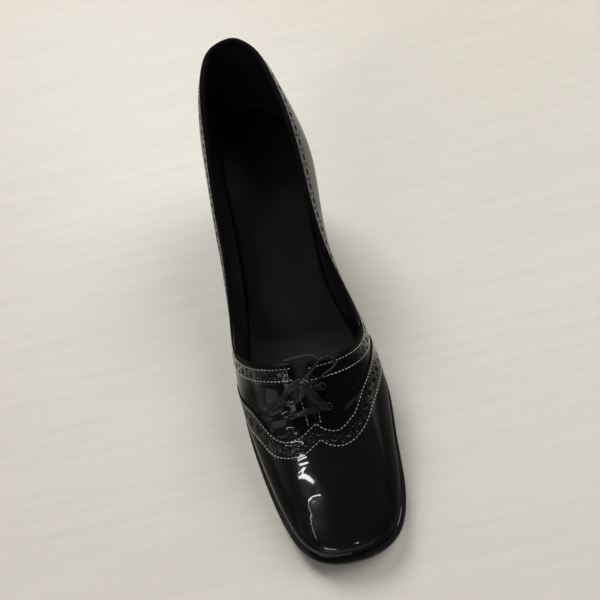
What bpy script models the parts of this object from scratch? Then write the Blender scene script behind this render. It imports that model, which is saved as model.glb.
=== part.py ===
# Laced wing-cap pump for the right foot: toe towards -Y, big-toe side towards +X, standing on the floor at z = 0
from collections import namedtuple

import bmesh
import bpy
import numpy as np

MM = 0.001

# Driving dimensions, in millimetres
WALL = 1.8  # leather and lining of the upper together
GAP = 0.3  # clearance between pieces that meet
CENTRE_STATION = 123.716  # station that lies over the origin
CENTRE_OFFSET = -0.199  # sideways shift that puts the origin under the middle of the shoe

# Plan of the feather line, where the upper meets the sole, from the back of the heel to the toe tip.
# station: distance from the toe tip of the sole; lateral, medial: half widths; rim: how far the sole edge stands out
Plan = namedtuple("Plan", "station lateral medial rim")
PLAN = [
    Plan(246.5, -1.0, 1.0, 0.3),
    Plan(242.6, 12.6, 10.2, 0.3),
    Plan(232.5, 20.3, 18.2, 0.3),
    Plan(216.0, 23.8, 22.2, 0.3),
    Plan(194.0, 24.4, 23.8, 0.3),
    Plan(168.0, 24.9, 22.0, 0.3),
    Plan(142.0, 27.8, 22.4, 0.5),
    Plan(118.0, 33.0, 28.8, 1.6),
    Plan(97.0, 36.5, 34.8, 2.6),
    Plan(78.0, 36.0, 36.2, 2.8),
    Plan(58.0, 33.0, 34.2, 2.9),
    Plan(39.0, 28.8, 32.6, 3.0),
    Plan(22.0, 23.6, 29.8, 3.0),
    Plan(9.5, 16.5, 23.2, 3.0),
    Plan(4.2, 7.8, 13.4, 3.0),
    Plan(3.0, -2.4, 2.4, 3.0),
]

# Heights along the shoe, from the toe tip to the back of the heel.
# under: underside of the sole; ridge: top of the last; ridge_x: sideways place of the ridge;
# square: fullness of the section, 2 for an ellipse; lateral_swell, medial_swell: how far the side bulges out
Height = namedtuple("Height", "station under ridge ridge_x square lateral_swell medial_swell")
HEIGHTS = [
    Height(0.0, 5.6, 21.0, 2.4, 2.00, 0.3, 0.3),
    Height(12.0, 3.3, 24.5, 2.4, 2.00, 0.3, 0.3),
    Height(28.0, 1.0, 30.6, 2.2, 2.00, 0.2, 0.8),
    Height(44.0, 0.0, 37.4, 1.6, 2.32, 0.2, 1.5),
    Height(62.0, 0.0, 46.2, 0.4, 2.30, 0.3, 1.9),
    Height(80.0, 0.0, 57.0, -1.0, 2.20, 0.8, 2.2),
    Height(98.0, 0.0, 68.0, -1.2, 2.15, 2.0, 3.0),
    Height(118.0, 3.4, 81.0, -0.6, 2.08, 3.4, 4.6),
    Height(142.0, 16.2, 98.0, 0.2, 1.76, 7.2, 6.2),
    Height(168.0, 33.0, 116.0, 0.2, 1.84, 7.8, 6.0),
    Height(194.0, 47.0, 128.0, 0.0, 1.90, 6.2, 5.9),
    Height(222.0, 54.6, 133.5, 0.0, 2.06, 4.4, 2.7),
    Height(247.5, 57.6, 135.8, 0.0, 2.12, 1.9, 1.9),
]

# Topline of the collar: rise above the feather line at each station behind the throat
Topline = namedtuple("Topline", "station lateral medial")
TOPLINE = [
    Topline(77.5, 55.4, 56.0),
    Topline(82.0, 52.8, 49.6),
    Topline(89.0, 47.2, 42.6),
    Topline(96.0, 41.4, 37.4),
    Topline(104.0, 36.6, 33.8),
    Topline(118.0, 33.4, 32.2),
    Topline(140.0, 36.0, 36.0),
    Topline(168.0, 42.0, 43.6),
    Topline(196.0, 49.2, 50.4),
    Topline(224.0, 55.4, 54.4),
    Topline(247.0, 57.4, 57.4),
]

# Laced slit in the throat
SLIT_END = 55.5
SLIT_HALF_AT_END = 1.1
SLIT_HALF_AT_TOP = 3.6
THROAT = 78.0

# Toe and heel fans: where the sections start to turn about a pole, and how fast they close on it
TOE_FAN_START = 66.0
TOE_FAN_POWER = 1.2
HEEL_FAN_START = 194.0
HEEL_FAN_POWER = 1.8

# Sole
SOLE_FOREPART = 4.6
SOLE_WAIST = 3.0
STEP_STATION = 121.0
STEP_LENGTH = 1.4

# Heel and top lift: a row for each level, from the lift up to the seat
# level: share of the height; breast, back: stations of the front and back faces; half: half width
HeelLevel = namedtuple("HeelLevel", "level breast back half")
HEEL = [
    HeelLevel(0.00, 208.5, 234.6, 13.4),
    HeelLevel(0.10, 208.2, 234.2, 13.0),
    HeelLevel(0.25, 207.4, 234.4, 13.1),
    HeelLevel(0.42, 206.0, 236.0, 14.6),
    HeelLevel(0.58, 203.9, 238.9, 17.2),
    HeelLevel(0.74, 201.0, 242.6, 20.5),
    HeelLevel(0.88, 197.6, 245.6, 23.1),
    HeelLevel(1.00, 194.0, 246.8, 24.2),
]
LIFT_HEIGHT = 5.4
LIFT_PROUD = 0.25
HEEL_SIDES = 22
HEEL_RINGS = 13

# Insole and tongue
INSOLE_THICK = 1.8
TONGUE_THICK = 1.4
TONGUE_CLEARANCE = 1.1  # from the inside of the vamp, whose facets cut a little into its curve
TONGUE_START = 51.0
TONGUE_TOP = 83.5
TONGUE_HALF = 11.5
TONGUE_ROUND_FROM = 0.8  # share of its length at which the top starts to round off
TONGUE_ROUNDING = 0.6
TONGUE_ROWS = 12
TONGUE_COLUMNS = 10

# Lace
LACE_WIDTH = 2.6
EYELET_STATIONS = {"lower": 62.0, "upper": 70.4}
EYELET_HALF_SPREAD = 8.6
BAR_POINTS = 6
BAR_CLEARANCE = 0.4  # of a bar over the facings
KNOT_SIZE = (7.0, 6.0, 4.4)

# Mesh density of the upper and sole
RING_STATIONS = 42
OUTSOLE_STATIONS = 38
INSOLE_STATIONS = 34
DENSE_STATION = 88.0  # the rings stand closer together round this station, by the throat
DENSE_REACH = 16.0
DENSE_EXTRA = 1.6
PROFILE_POINTS = 15
SOLE_STEPS = 4

LATERAL, MEDIAL = -1, 1


def smooth_curve(knots, values, at):
    """A curve through the values whose bend has no jumps."""
    knots, values = np.asarray(knots, float), np.asarray(values, float)
    step = np.diff(knots)
    slope = np.diff(values) / step
    count = len(knots)
    matrix, right = np.eye(count), np.zeros(count)
    for i in range(1, count - 1):
        matrix[i, i - 1:i + 2] = step[i - 1], 2 * (step[i - 1] + step[i]), step[i]
        right[i] = 6 * (slope[i] - slope[i - 1])
    bend = np.linalg.solve(matrix, right)
    at = np.asarray(at, float)
    i = np.clip(np.searchsorted(knots, at) - 1, 0, count - 2)
    after, before, width = at - knots[i], knots[i + 1] - at, step[i]
    return ((bend[i] * before**3 + bend[i + 1] * after**3) / (6 * width)
            + (values[i] / width - bend[i] * width / 6) * before
            + (values[i + 1] / width - bend[i + 1] * width / 6) * after)


def steady_curve(knots, values, at):
    """A curve through the values that never runs past them, so flat stretches stay flat."""
    knots, values = np.asarray(knots, float), np.asarray(values, float)
    step = np.diff(knots)
    slope = np.diff(values) / step
    product = slope[:-1] * slope[1:]
    total = np.where(product > 0, slope[:-1] + slope[1:], 1)
    inner = np.where(product > 0, 2 * product / total, 0)
    tangent = np.concatenate([[slope[0]], inner, [slope[-1]]])
    at = np.asarray(at, float)
    i = np.clip(np.searchsorted(knots, at) - 1, 0, len(knots) - 2)
    u = np.clip((at - knots[i]) / step[i], 0, 1)
    return ((1 + 2 * u) * (1 - u)**2 * values[i] + u * (1 - u)**2 * step[i] * tangent[i]
            + u * u * (3 - 2 * u) * values[i + 1] - u * u * (1 - u) * step[i] * tangent[i + 1])


def column(table, name):
    return np.array([getattr(row, name) for row in table])


def height_column(name, station):
    return smooth_curve(column(HEIGHTS, "station"), column(HEIGHTS, name), np.clip(station, 0, HEIGHTS[-1].station))


def plan_with_ends():
    """The plan rows with two mirrored rows past each end, so that the outline closes smoothly, and their knots."""
    def mirrored(row):
        return Plan(row.station, -row.medial, -row.lateral, row.rim)
    rows = [mirrored(PLAN[2]), mirrored(PLAN[1]), *PLAN, mirrored(PLAN[-2]), mirrored(PLAN[-3])]
    legs = []
    for a, b in zip(rows[:-1], rows[1:]):
        along = b.station - a.station
        legs.append((np.hypot(along, b.lateral - a.lateral) + np.hypot(along, b.medial - a.medial)) / 2)
    knots = np.concatenate([[0], np.cumsum(legs)])
    start, end = knots[2], knots[-3]
    return rows, (knots - start) / (end - start)


PLAN_ROWS, PLAN_KNOTS = plan_with_ends()


def plan_column(name, turn):
    """A plan column at a turn, which runs from 0 at the back of the heel to 1 at the toe tip."""
    return smooth_curve(PLAN_KNOTS, column(PLAN_ROWS, name), turn)


def feather(side, turn):
    """Station and sideways place of the feather line."""
    station = plan_column("station", turn)
    across = np.where(np.asarray(side) > 0, plan_column("medial", turn), -plan_column("lateral", turn))
    return station, across


def turn_at_station(station):
    turns = np.linspace(1, 0, 4001)
    return np.interp(station, plan_column("station", turns), turns)


def fan(share, power):
    return (1 - (1 - share)**(power + 1)) / (power + 1)


def spine(turn):
    """Station and sideways place of the ridge point that a section at this turn leans on."""
    turn = np.asarray(turn, float)
    station = plan_column("station", turn)
    small = 1e-4
    toe_turn, heel_turn = turn_at_station(TOE_FAN_START), turn_at_station(HEEL_FAN_START)
    toe_rate = (plan_column("station", toe_turn - small) - plan_column("station", toe_turn + small)) / (2 * small)
    heel_rate = (plan_column("station", heel_turn - small) - plan_column("station", heel_turn + small)) / (2 * small)
    toe_share = np.clip((turn - toe_turn) / (1 - toe_turn), 0, 1)
    heel_share = np.clip((heel_turn - turn) / heel_turn, 0, 1)
    toe_station = TOE_FAN_START - toe_rate * (1 - toe_turn) * fan(toe_share, TOE_FAN_POWER)
    heel_station = HEEL_FAN_START + heel_rate * heel_turn * fan(heel_share, HEEL_FAN_POWER)
    place = np.where(turn > toe_turn, toe_station, np.where(turn < heel_turn, heel_station, station))
    return place, height_column("ridge_x", place)


def tread(station):
    """Underside of a sole as thick as the forepart all along: flat under the ball, then rising to the seat."""
    inside = np.clip(station, 0, HEIGHTS[-1].station)
    return steady_curve(column(HEIGHTS, "station"), column(HEIGHTS, "under"), inside)


def sole_under(station):
    """Underside of the sole, with a step up where the thinner waist begins."""
    step = np.clip((np.asarray(station) - STEP_STATION) / STEP_LENGTH, 0, 1)
    return tread(station) + (SOLE_FOREPART - SOLE_WAIST) * step


def sole_top(station):
    return tread(station) + SOLE_FOREPART


def side_swell(side, station):
    return np.where(np.asarray(side) > 0, height_column("medial_swell", station),
                    height_column("lateral_swell", station))


def last_surface(side, turn, rise):
    """Outer face of the upper: rise runs from 0 at the feather line to 1 on the ridge."""
    side, turn, rise = np.broadcast_arrays(np.asarray(side, float), np.asarray(turn, float), np.asarray(rise, float))
    foot_station, foot_x = feather(side, turn)
    ridge_station, ridge_x = spine(turn)
    power = 2 / height_column("square", ridge_station)
    angle = np.clip(rise, 0, 1) * np.pi / 2
    inward = np.clip(np.cos(angle), 1e-9, 1)**power
    upward = np.clip(np.sin(angle), 0, 1)**power
    reach = np.hypot(foot_x - ridge_x, foot_station - ridge_station)
    swell_peak = 0.24  # rise at which the side bulges most
    bulge = side_swell(side, foot_station) * (rise / swell_peak) * np.exp(1 - rise / swell_peak) * (1 - rise**2)**2
    outward = inward + bulge / reach
    x = ridge_x + (foot_x - ridge_x) * outward
    station = ridge_station + (foot_station - ridge_station) * outward
    foot_z = sole_top(foot_station) + GAP
    small = 0.5
    ahead, behind = height_column("ridge", ridge_station - small), height_column("ridge", ridge_station + small)
    slope = (behind - ahead) / (2 * small)
    lean = np.where(ridge_station < TOE_FAN_START, slope * (station - ridge_station), 0) * upward**2
    z = foot_z + (height_column("ridge", ridge_station) - foot_z) * upward + lean
    return np.stack([x, station, z], axis=-1)


def last_normal(side, turn, rise):
    """Outward unit normal of the upper's outer face."""
    small = 1e-4
    turn = np.asarray(turn, float)
    rise = np.clip(rise, 0, 1 - 2 * small)
    ahead, behind = np.clip(turn + small, 0, 1), np.clip(turn - small, 0, 1)
    along = last_surface(side, ahead, rise) - last_surface(side, behind, rise)
    up = last_surface(side, turn, rise + small) - last_surface(side, turn, np.clip(rise - small, 0, 1))
    normal = np.cross(up, along) * np.asarray(side, float)[..., None]
    return normal / np.linalg.norm(normal, axis=-1, keepdims=True)


def rise_at_distance(side, turn, distance):
    """The rise at which the surface lies this far sideways from the ridge."""
    foot_station, foot_x = feather(side, turn)
    ridge_station, ridge_x = spine(turn)
    reach = np.hypot(foot_x - ridge_x, foot_station - ridge_station)
    half_power = height_column("square", ridge_station) / 2
    return np.arccos(np.clip(distance / reach, 0, 1)**half_power) * 2 / np.pi


def collar_rise(side, turn):
    """The rise of the topline, or of the slit's edge in front of the throat, and 1 where the vamp is closed."""
    foot_station, _ = feather(side, turn)
    ridge_station, _ = spine(turn)
    wanted = np.where(np.asarray(side) > 0,
                      steady_curve(column(TOPLINE, "station"), column(TOPLINE, "medial"), foot_station),
                      steady_curve(column(TOPLINE, "station"), column(TOPLINE, "lateral"), foot_station))
    full = height_column("ridge", ridge_station) - sole_top(foot_station) - GAP
    half_power = height_column("square", ridge_station) / 2
    topline = np.arcsin(np.clip(wanted / full, 0, 1)**half_power) * 2 / np.pi
    along_slit = np.clip((ridge_station - SLIT_END) / (THROAT - SLIT_END), 0, 1)
    half_gap = SLIT_HALF_AT_END + (SLIT_HALF_AT_TOP - SLIT_HALF_AT_END) * along_slit
    slit = rise_at_distance(side, turn, half_gap)
    return np.where(ridge_station <= SLIT_END, 1.0, np.minimum(topline, slit))


def ring_turns(count):
    """Turns from the heel back to the toe tip, closer together round the throat."""
    fine = np.linspace(0, 1, 2001)
    station = plan_column("station", fine)
    density = 1 + DENSE_EXTRA * np.exp(-((station - DENSE_STATION) / DENSE_REACH)**2)
    total = np.concatenate([[0], np.cumsum((density[1:] + density[:-1]) / 2)])
    return np.interp(np.linspace(0, total[-1], count), total, fine)


def place(points):
    """From the shoe's own sizes to metres in the frame."""
    points = np.asarray(points, float)
    return np.stack([points[..., 0] - CENTRE_OFFSET, points[..., 1] - CENTRE_STATION, points[..., 2]], axis=-1) * MM


def make_material(name, colour, roughness, metallic=0.0):
    material = bpy.data.materials.new(name)
    material.use_nodes = True
    shader = material.node_tree.nodes["Principled BSDF"]
    shader.inputs["Base Color"].default_value = (*colour, 1.0)
    shader.inputs["Roughness"].default_value = roughness
    shader.inputs["Metallic"].default_value = metallic
    return material


def add_object(name, data, material, parent):
    piece = bpy.data.objects.new(name, data)
    bpy.context.scene.collection.objects.link(piece)
    data.materials.append(material)
    piece.parent = parent
    return piece


class Shell:
    """Collects named points and faces, and turns them into one closed mesh with its faces pointing out."""

    def __init__(self):
        self.mesh = bmesh.new()
        self.points = {}

    def point(self, key, location):
        if key not in self.points:
            self.points[key] = self.mesh.verts.new(location)
        return self.points[key]

    def face(self, corners):
        distinct = list(dict.fromkeys(corners))
        if len(distinct) > 2:
            self.mesh.faces.new(distinct)

    def finish(self, name, sharp_degrees=40):
        bmesh.ops.recalc_face_normals(self.mesh, faces=self.mesh.faces)
        data = bpy.data.meshes.new(name)
        self.mesh.to_mesh(data)
        self.mesh.free()
        data.shade_smooth()
        data.set_sharp_from_angle(angle=np.radians(sharp_degrees))
        return data


def make_upper():
    """The hollow leather shell: an outer and an inner face, joined along the collar and along the feather line."""
    turns = ring_turns(RING_STATIONS)
    last = len(turns) - 1
    shares = np.linspace(0, 1, PROFILE_POINTS)
    shell = Shell()
    closed = spine(turns)[0] <= SLIT_END
    grids = {}
    for side in (LATERAL, MEDIAL):
        rises = collar_rise(side, turns)[:, None] * shares[None, :]
        sides = np.full_like(rises, side)
        spread = np.broadcast_to(turns[:, None], rises.shape)
        outer = last_surface(sides, spread, rises)
        inner = outer - WALL * last_normal(sides, spread, rises)
        inner[:, 0, 2] = sole_top(inner[:, 0, 1]) + GAP
        grids[side] = {"outer": place(outer), "inner": place(inner)}

    def corner(side, layer, i, j):
        on_both = i in (0, last) or (closed[i] and j == PROFILE_POINTS - 1)
        key = (layer, 0 if on_both else side, i, j)
        location = grids[side][layer][i, j]
        if on_both:
            location = (grids[LATERAL][layer][i, j] + grids[MEDIAL][layer][i, j]) / 2
        return shell.point(key, location)

    for side in (LATERAL, MEDIAL):
        for i in range(last):
            for layer in ("outer", "inner"):
                for j in range(PROFILE_POINTS - 1):
                    shell.face([corner(side, layer, i, j), corner(side, layer, i + 1, j),
                                corner(side, layer, i + 1, j + 1), corner(side, layer, i, j + 1)])
            edges = [0] if closed[i] else [0, PROFILE_POINTS - 1]
            for j in edges:
                shell.face([corner(side, "outer", i, j), corner(side, "outer", i + 1, j),
                            corner(side, "inner", i + 1, j), corner(side, "inner", i, j)])
    return shell.finish("upper")


def plate(name, turns, edge, top, bottom):
    """A closed plate inside an outline: edge gives the outline, top and bottom the heights at a station."""
    shell = Shell()
    last = len(turns) - 1
    shares = np.linspace(0, 1, SOLE_STEPS + 1)
    ridge_station, ridge_x = spine(turns)
    grids = {}
    for side in (LATERAL, MEDIAL):
        edge_station, edge_x = edge(side, turns)
        station = ridge_station[:, None] + (edge_station - ridge_station)[:, None] * shares
        x = ridge_x[:, None] + (edge_x - ridge_x)[:, None] * shares
        grids[side] = {layer: place(np.stack([x, station, height(station)], axis=-1))
                       for layer, height in (("top", top), ("bottom", bottom))}

    def corner(side, layer, i, j):
        shared = j == 0 or i in (0, last)
        location = grids[side][layer][i, j]
        if shared:
            location = (grids[LATERAL][layer][i, j] + grids[MEDIAL][layer][i, j]) / 2
        return shell.point((layer, 0 if shared else side, i, j), location)

    for side in (LATERAL, MEDIAL):
        for i in range(last):
            for layer in ("top", "bottom"):
                for j in range(SOLE_STEPS):
                    shell.face([corner(side, layer, i, j), corner(side, layer, i + 1, j),
                                corner(side, layer, i + 1, j + 1), corner(side, layer, i, j + 1)])
            shell.face([corner(side, "top", i, SOLE_STEPS), corner(side, "top", i + 1, SOLE_STEPS),
                        corner(side, "bottom", i + 1, SOLE_STEPS), corner(side, "bottom", i, SOLE_STEPS)])
    return shell.finish(name, sharp_degrees=30)


def offset_outline(side, turns, distance):
    """The feather line moved outward, square to itself, by a distance that may change along it."""
    small = 1e-4
    ahead = feather(side, np.clip(turns + small, 0, 1))
    behind = feather(side, np.clip(turns - small, 0, 1))
    along_station, along_x = ahead[0] - behind[0], ahead[1] - behind[1]
    size = np.hypot(along_station, along_x)
    station, x = feather(side, turns)
    out_station, out_x = along_x / size * side, -along_station / size * side
    return station + distance * out_station, x + distance * out_x


def make_outsole():
    """Full-length sole: thick forepart with toe spring, a step, then the arched waist and the seat."""
    step_turns = turn_at_station(np.array([STEP_STATION, STEP_STATION + STEP_LENGTH]))
    turns = np.sort(np.concatenate([ring_turns(OUTSOLE_STATIONS), step_turns]))
    return plate("outsole", turns, lambda side, t: offset_outline(side, t, plan_column("rim", t)),
                 sole_top, sole_under)


def make_insole():
    """Sock lining that covers the sole inside the upper."""
    inset = WALL + 2 * GAP
    return plate("insole", ring_turns(INSOLE_STATIONS), lambda side, t: offset_outline(side, t, -inset),
                 lambda station: sole_top(station) + GAP + INSOLE_THICK, lambda station: sole_top(station) + GAP)


def heel_outline():
    """Seat outline behind the breast, as shares: depth from 0 at the breast to 1 at the back, width from -1 to 1."""
    breast, back, half = HEEL[-1].breast, HEEL[-1].back, HEEL[-1].half
    steps = HEEL_SIDES // 2
    turns = np.linspace(0, turn_at_station(breast), steps + 1)
    points = []
    for side, order in ((LATERAL, slice(None, None, -1)), (MEDIAL, slice(1, None))):
        station, x = offset_outline(side, turns, plan_column("rim", turns))
        depth = np.clip((station - breast) / (back - breast), 0, 1)
        points += list(zip(depth[order], (x / half)[order]))
    return np.array(points)


def heel_section(level, outline):
    """Stations and sideways places of the heel's outline at a level."""
    levels = column(HEEL, "level")
    breast, back, half = (smooth_curve(levels, column(HEEL, name), level) for name in ("breast", "back", "half"))
    return breast + outline[:, 0] * (back - breast), outline[:, 1] * half


def stack(name, rings):
    """A closed solid through rings of points, with both ends closed by strips from side to side."""
    shell = Shell()
    count, last = len(rings[0]), len(rings) - 1

    def corner(ring, k):
        k = k % count
        return shell.point((ring, k), place(rings[ring][k]))

    for ring in range(last):
        for k in range(count):
            shell.face([corner(ring, k), corner(ring, k + 1), corner(ring + 1, k + 1), corner(ring + 1, k)])
    for ring in (0, last):
        for k in range(count // 2):
            shell.face([corner(ring, k), corner(ring, k + 1), corner(ring, -k - 2), corner(ring, -k - 1)])
    return shell.finish(name, sharp_degrees=35)


def make_heel():
    """Curved heel block: the seat outline drawn in to the lift, its top shaped to the sole above it."""
    outline = heel_outline()
    foot = LIFT_HEIGHT + GAP
    rings = []
    for level in np.linspace(0, 1, HEEL_RINGS):
        station, x = heel_section(level, outline)
        seat = sole_under(station) - GAP
        rings.append(np.stack([x, station, foot + (seat - foot) * level], axis=-1))
    return stack("heel", rings)


def make_top_lift():
    """D-shaped lift under the heel, flat on the floor."""
    station, x = heel_section(0.0, heel_outline())
    middle = (station.min() + station.max()) / 2
    grow = 1 + LIFT_PROUD / HEEL[0].half
    rings = [np.stack([x * grow, middle + (station - middle) * grow, np.full_like(x, z)], axis=-1)
             for z in (0.0, LIFT_HEIGHT)]
    return stack("top_lift", rings)


def upper_place(station, distance, lift):
    """A point over the vamp: its ridge station, its distance from the ridge (medial positive) and its lift."""
    turns = np.linspace(0, 1, 4001)
    turn = np.interp(-np.asarray(station, float), -spine(turns)[0], turns)
    side = np.where(np.asarray(distance) >= 0, MEDIAL, LATERAL)
    rise = rise_at_distance(side, turn, np.abs(distance))
    return last_surface(side, turn, rise) + np.asarray(lift)[..., None] * last_normal(side, turn, rise)


def make_tongue():
    """Tongue under the slit, following the inside of the vamp."""
    stations = np.linspace(TONGUE_START, TONGUE_TOP, TONGUE_ROWS)
    share = (stations - TONGUE_START) / (TONGUE_TOP - TONGUE_START)
    rounding = np.clip((share - TONGUE_ROUND_FROM) / (1 - TONGUE_ROUND_FROM), 0, 1)
    half = TONGUE_HALF * np.sqrt(1 - TONGUE_ROUNDING * rounding**2)
    columns = np.linspace(-1, 1, TONGUE_COLUMNS)
    distance = half[:, None] * columns[None, :]
    spread = np.broadcast_to(stations[:, None], distance.shape)
    shell = Shell()
    depth = WALL + TONGUE_CLEARANCE
    layers = {"outer": place(upper_place(spread, distance, np.full(distance.shape, -depth))),
              "inner": place(upper_place(spread, distance, np.full(distance.shape, -depth - TONGUE_THICK)))}

    def corner(layer, i, j):
        return shell.point((layer, i, j), layers[layer][i, j])

    for layer in layers:
        for i in range(TONGUE_ROWS - 1):
            for j in range(TONGUE_COLUMNS - 1):
                shell.face([corner(layer, i, j), corner(layer, i + 1, j),
                            corner(layer, i + 1, j + 1), corner(layer, i, j + 1)])
    border = [(0, j) for j in range(TONGUE_COLUMNS)]
    border += [(i, TONGUE_COLUMNS - 1) for i in range(1, TONGUE_ROWS)]
    border += [(TONGUE_ROWS - 1, j) for j in range(TONGUE_COLUMNS - 2, -1, -1)]
    border += [(i, 0) for i in range(TONGUE_ROWS - 2, 0, -1)]
    for a, b in zip(border, border[1:] + border[:1]):
        shell.face([corner("outer", *a), corner("outer", *b), corner("inner", *b), corner("inner", *a)])
    return shell.finish("tongue")


def make_tube(name, points, width):
    """A cord: a curve with a round bevel and filled ends, through points in the frame."""
    data = bpy.data.curves.new(name, "CURVE")
    data.dimensions = "3D"
    data.bevel_depth = width / 2 * MM
    data.bevel_resolution = 2
    data.use_fill_caps = True
    line = data.splines.new("POLY")
    line.points.add(len(points) - 1)
    for vertex, point in zip(line.points, points):
        vertex.co = (*point, 1.0)
    return data


def make_lace_bar(row):
    """Straight bar of lace across the slit, between one pair of eyelets."""
    distance = np.linspace(-EYELET_HALF_SPREAD, EYELET_HALF_SPREAD, BAR_POINTS)
    lift = np.full(BAR_POINTS, LACE_WIDTH / 2 + BAR_CLEARANCE)
    points = place(upper_place(np.full(BAR_POINTS, EYELET_STATIONS[row]), distance, lift))
    return make_tube(f"lace_bar_{row}", points, LACE_WIDTH)


# The bow: routes over the vamp, as rows of ridge station, distance from the ridge (medial positive) and lift.
# Each loop leaves the knot and comes back to it; each end leaves the knot and lies on the vamp.
Route = namedtuple("Route", "station distance lift")
KNOT = Route(72.5, 0.0, 6.0)
BOW = {
    "lace_loop_right": [
        Route(72.9, 3.9, 5.9), Route(74.8, 7.4, 6.2), Route(76.9, 10.8, 6.5), Route(79.2, 13.6, 6.4),
        Route(81.6, 13.6, 6.3), Route(82.4, 11.0, 6.3), Route(81.0, 7.8, 6.5), Route(78.8, 4.8, 6.7),
        Route(76.6, 2.4, 6.6),
    ],
    "lace_loop_left": [
        Route(73.6, -3.9, 6.0), Route(73.2, -7.0, 5.8), Route(71.6, -9.6, 5.0), Route(69.0, -9.8, 4.6),
        Route(67.9, -7.6, 4.8), Route(68.4, -5.0, 5.2), Route(69.8, -3.6, 5.6),
    ],
    "lace_end_right": [
        Route(70.4, 2.6, 5.8), Route(67.2, 3.5, 5.1), Route(64.4, 4.6, 4.6), Route(61.6, 6.4, 4.6),
    ],
    "lace_end_left": [
        Route(69.0, -0.8, 5.6), Route(66.0, -3.8, 4.8), Route(64.6, -8.2, 3.6), Route(64.4, -12.6, 2.2),
        Route(65.2, -16.6, 1.7),
    ],
}
TUBE_STEP = 2.4  # spacing of a tube's points, in lace widths


def smooth_route(rows):
    """Evenly spaced points along a smooth curve through a route."""
    corners = upper_place(column(rows, "station"), column(rows, "distance"), column(rows, "lift"))
    knots = np.concatenate([[0], np.cumsum(np.linalg.norm(np.diff(corners, axis=0), axis=1))])
    count = max(4, int(round(knots[-1] / (TUBE_STEP * LACE_WIDTH))) + 1)
    at = np.linspace(0, knots[-1], count)
    return place(np.stack([smooth_curve(knots, corners[:, k], at) for k in range(3)], axis=-1))


def make_knot():
    """Small tied knot over the upper bar."""
    data = bpy.data.meshes.new("lace_knot")
    ball = bmesh.new()
    bmesh.ops.create_icosphere(ball, subdivisions=2, radius=0.5 * MM)
    bmesh.ops.scale(ball, vec=KNOT_SIZE, verts=ball.verts)
    ball.to_mesh(data)
    ball.free()
    data.shade_smooth()
    return data


def main():
    for piece in list(bpy.data.objects):
        bpy.data.objects.remove(piece)
    shoe = bpy.data.objects.new("shoe", None)
    bpy.context.scene.collection.objects.link(shoe)

    patent = make_material("patent_leather", (0.006, 0.006, 0.007), 0.08)
    lining = make_material("lining_leather", (0.015, 0.014, 0.014), 0.6)
    sole_leather = make_material("sole_leather", (0.020, 0.019, 0.018), 0.7)
    heel_cover = make_material("heel_leather", (0.010, 0.010, 0.010), 0.35)
    lift_rubber = make_material("lift_rubber", (0.016, 0.016, 0.016), 0.85)
    lace = make_material("lace_cord", (0.008, 0.008, 0.008), 0.3)

    add_object("upper", make_upper(), patent, shoe)
    add_object("outsole", make_outsole(), sole_leather, shoe)
    add_object("insole", make_insole(), lining, shoe)
    add_object("tongue", make_tongue(), lining, shoe)
    add_object("heel", make_heel(), heel_cover, shoe)
    add_object("top_lift", make_top_lift(), lift_rubber, shoe)
    for row in EYELET_STATIONS:
        add_object(f"lace_bar_{row}", make_lace_bar(row), lace, shoe)
    knot = add_object("lace_knot", make_knot(), lace, shoe)
    knot.location = place(upper_place(KNOT.station, KNOT.distance, KNOT.lift))
    for name, rows in BOW.items():
        add_object(name, make_tube(name, smooth_route(rows), LACE_WIDTH), lace, shoe)


main()
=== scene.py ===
# Laced wing-cap pump for the right foot: the looks of the shoe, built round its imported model

# %% [markdown]
# A pump like this is lasted: leather is pulled over a wooden foot shape, the last, and fixed to a sole. The
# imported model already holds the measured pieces. This lesson dresses them: leather with creases, a punched
# wing band, stitches, a bow, a worn sole. Loading the model first gives every later piece the same frame,
# in metres.

from collections import namedtuple

import bmesh
import bpy
import numpy as np
from mathutils import Matrix, Vector


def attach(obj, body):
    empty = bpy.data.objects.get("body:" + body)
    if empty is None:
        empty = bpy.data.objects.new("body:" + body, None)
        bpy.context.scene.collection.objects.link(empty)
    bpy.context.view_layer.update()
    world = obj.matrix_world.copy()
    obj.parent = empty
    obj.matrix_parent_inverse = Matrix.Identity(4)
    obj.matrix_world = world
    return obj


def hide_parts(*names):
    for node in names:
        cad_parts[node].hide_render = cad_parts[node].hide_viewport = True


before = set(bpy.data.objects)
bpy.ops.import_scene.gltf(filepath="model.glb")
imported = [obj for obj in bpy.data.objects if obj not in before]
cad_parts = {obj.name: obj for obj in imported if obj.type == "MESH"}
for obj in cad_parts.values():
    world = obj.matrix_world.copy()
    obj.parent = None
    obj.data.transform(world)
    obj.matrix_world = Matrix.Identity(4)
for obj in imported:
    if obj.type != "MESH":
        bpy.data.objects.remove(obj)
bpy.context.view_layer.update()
MM = 0.001
print("nodes:", sorted(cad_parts))

# %% [markdown]
# The last is described by three short tables. The plan gives the feather line, where leather meets sole, as
# half widths at stations counted from the toe tip. The heights give the sole, the ridge of the instep and
# how full the sides are. The topline says how far the collar stands above the feather line. Scanning a real
# last would give more points, but a few rows joined by smooth curves stay easy to read and to change.

# %% Tables of the last
WALL = 1.8
GAP = 0.3
CENTRE_STATION = 123.716
CENTRE_OFFSET = -0.199
LATERAL, MEDIAL = -1.0, 1.0

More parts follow.
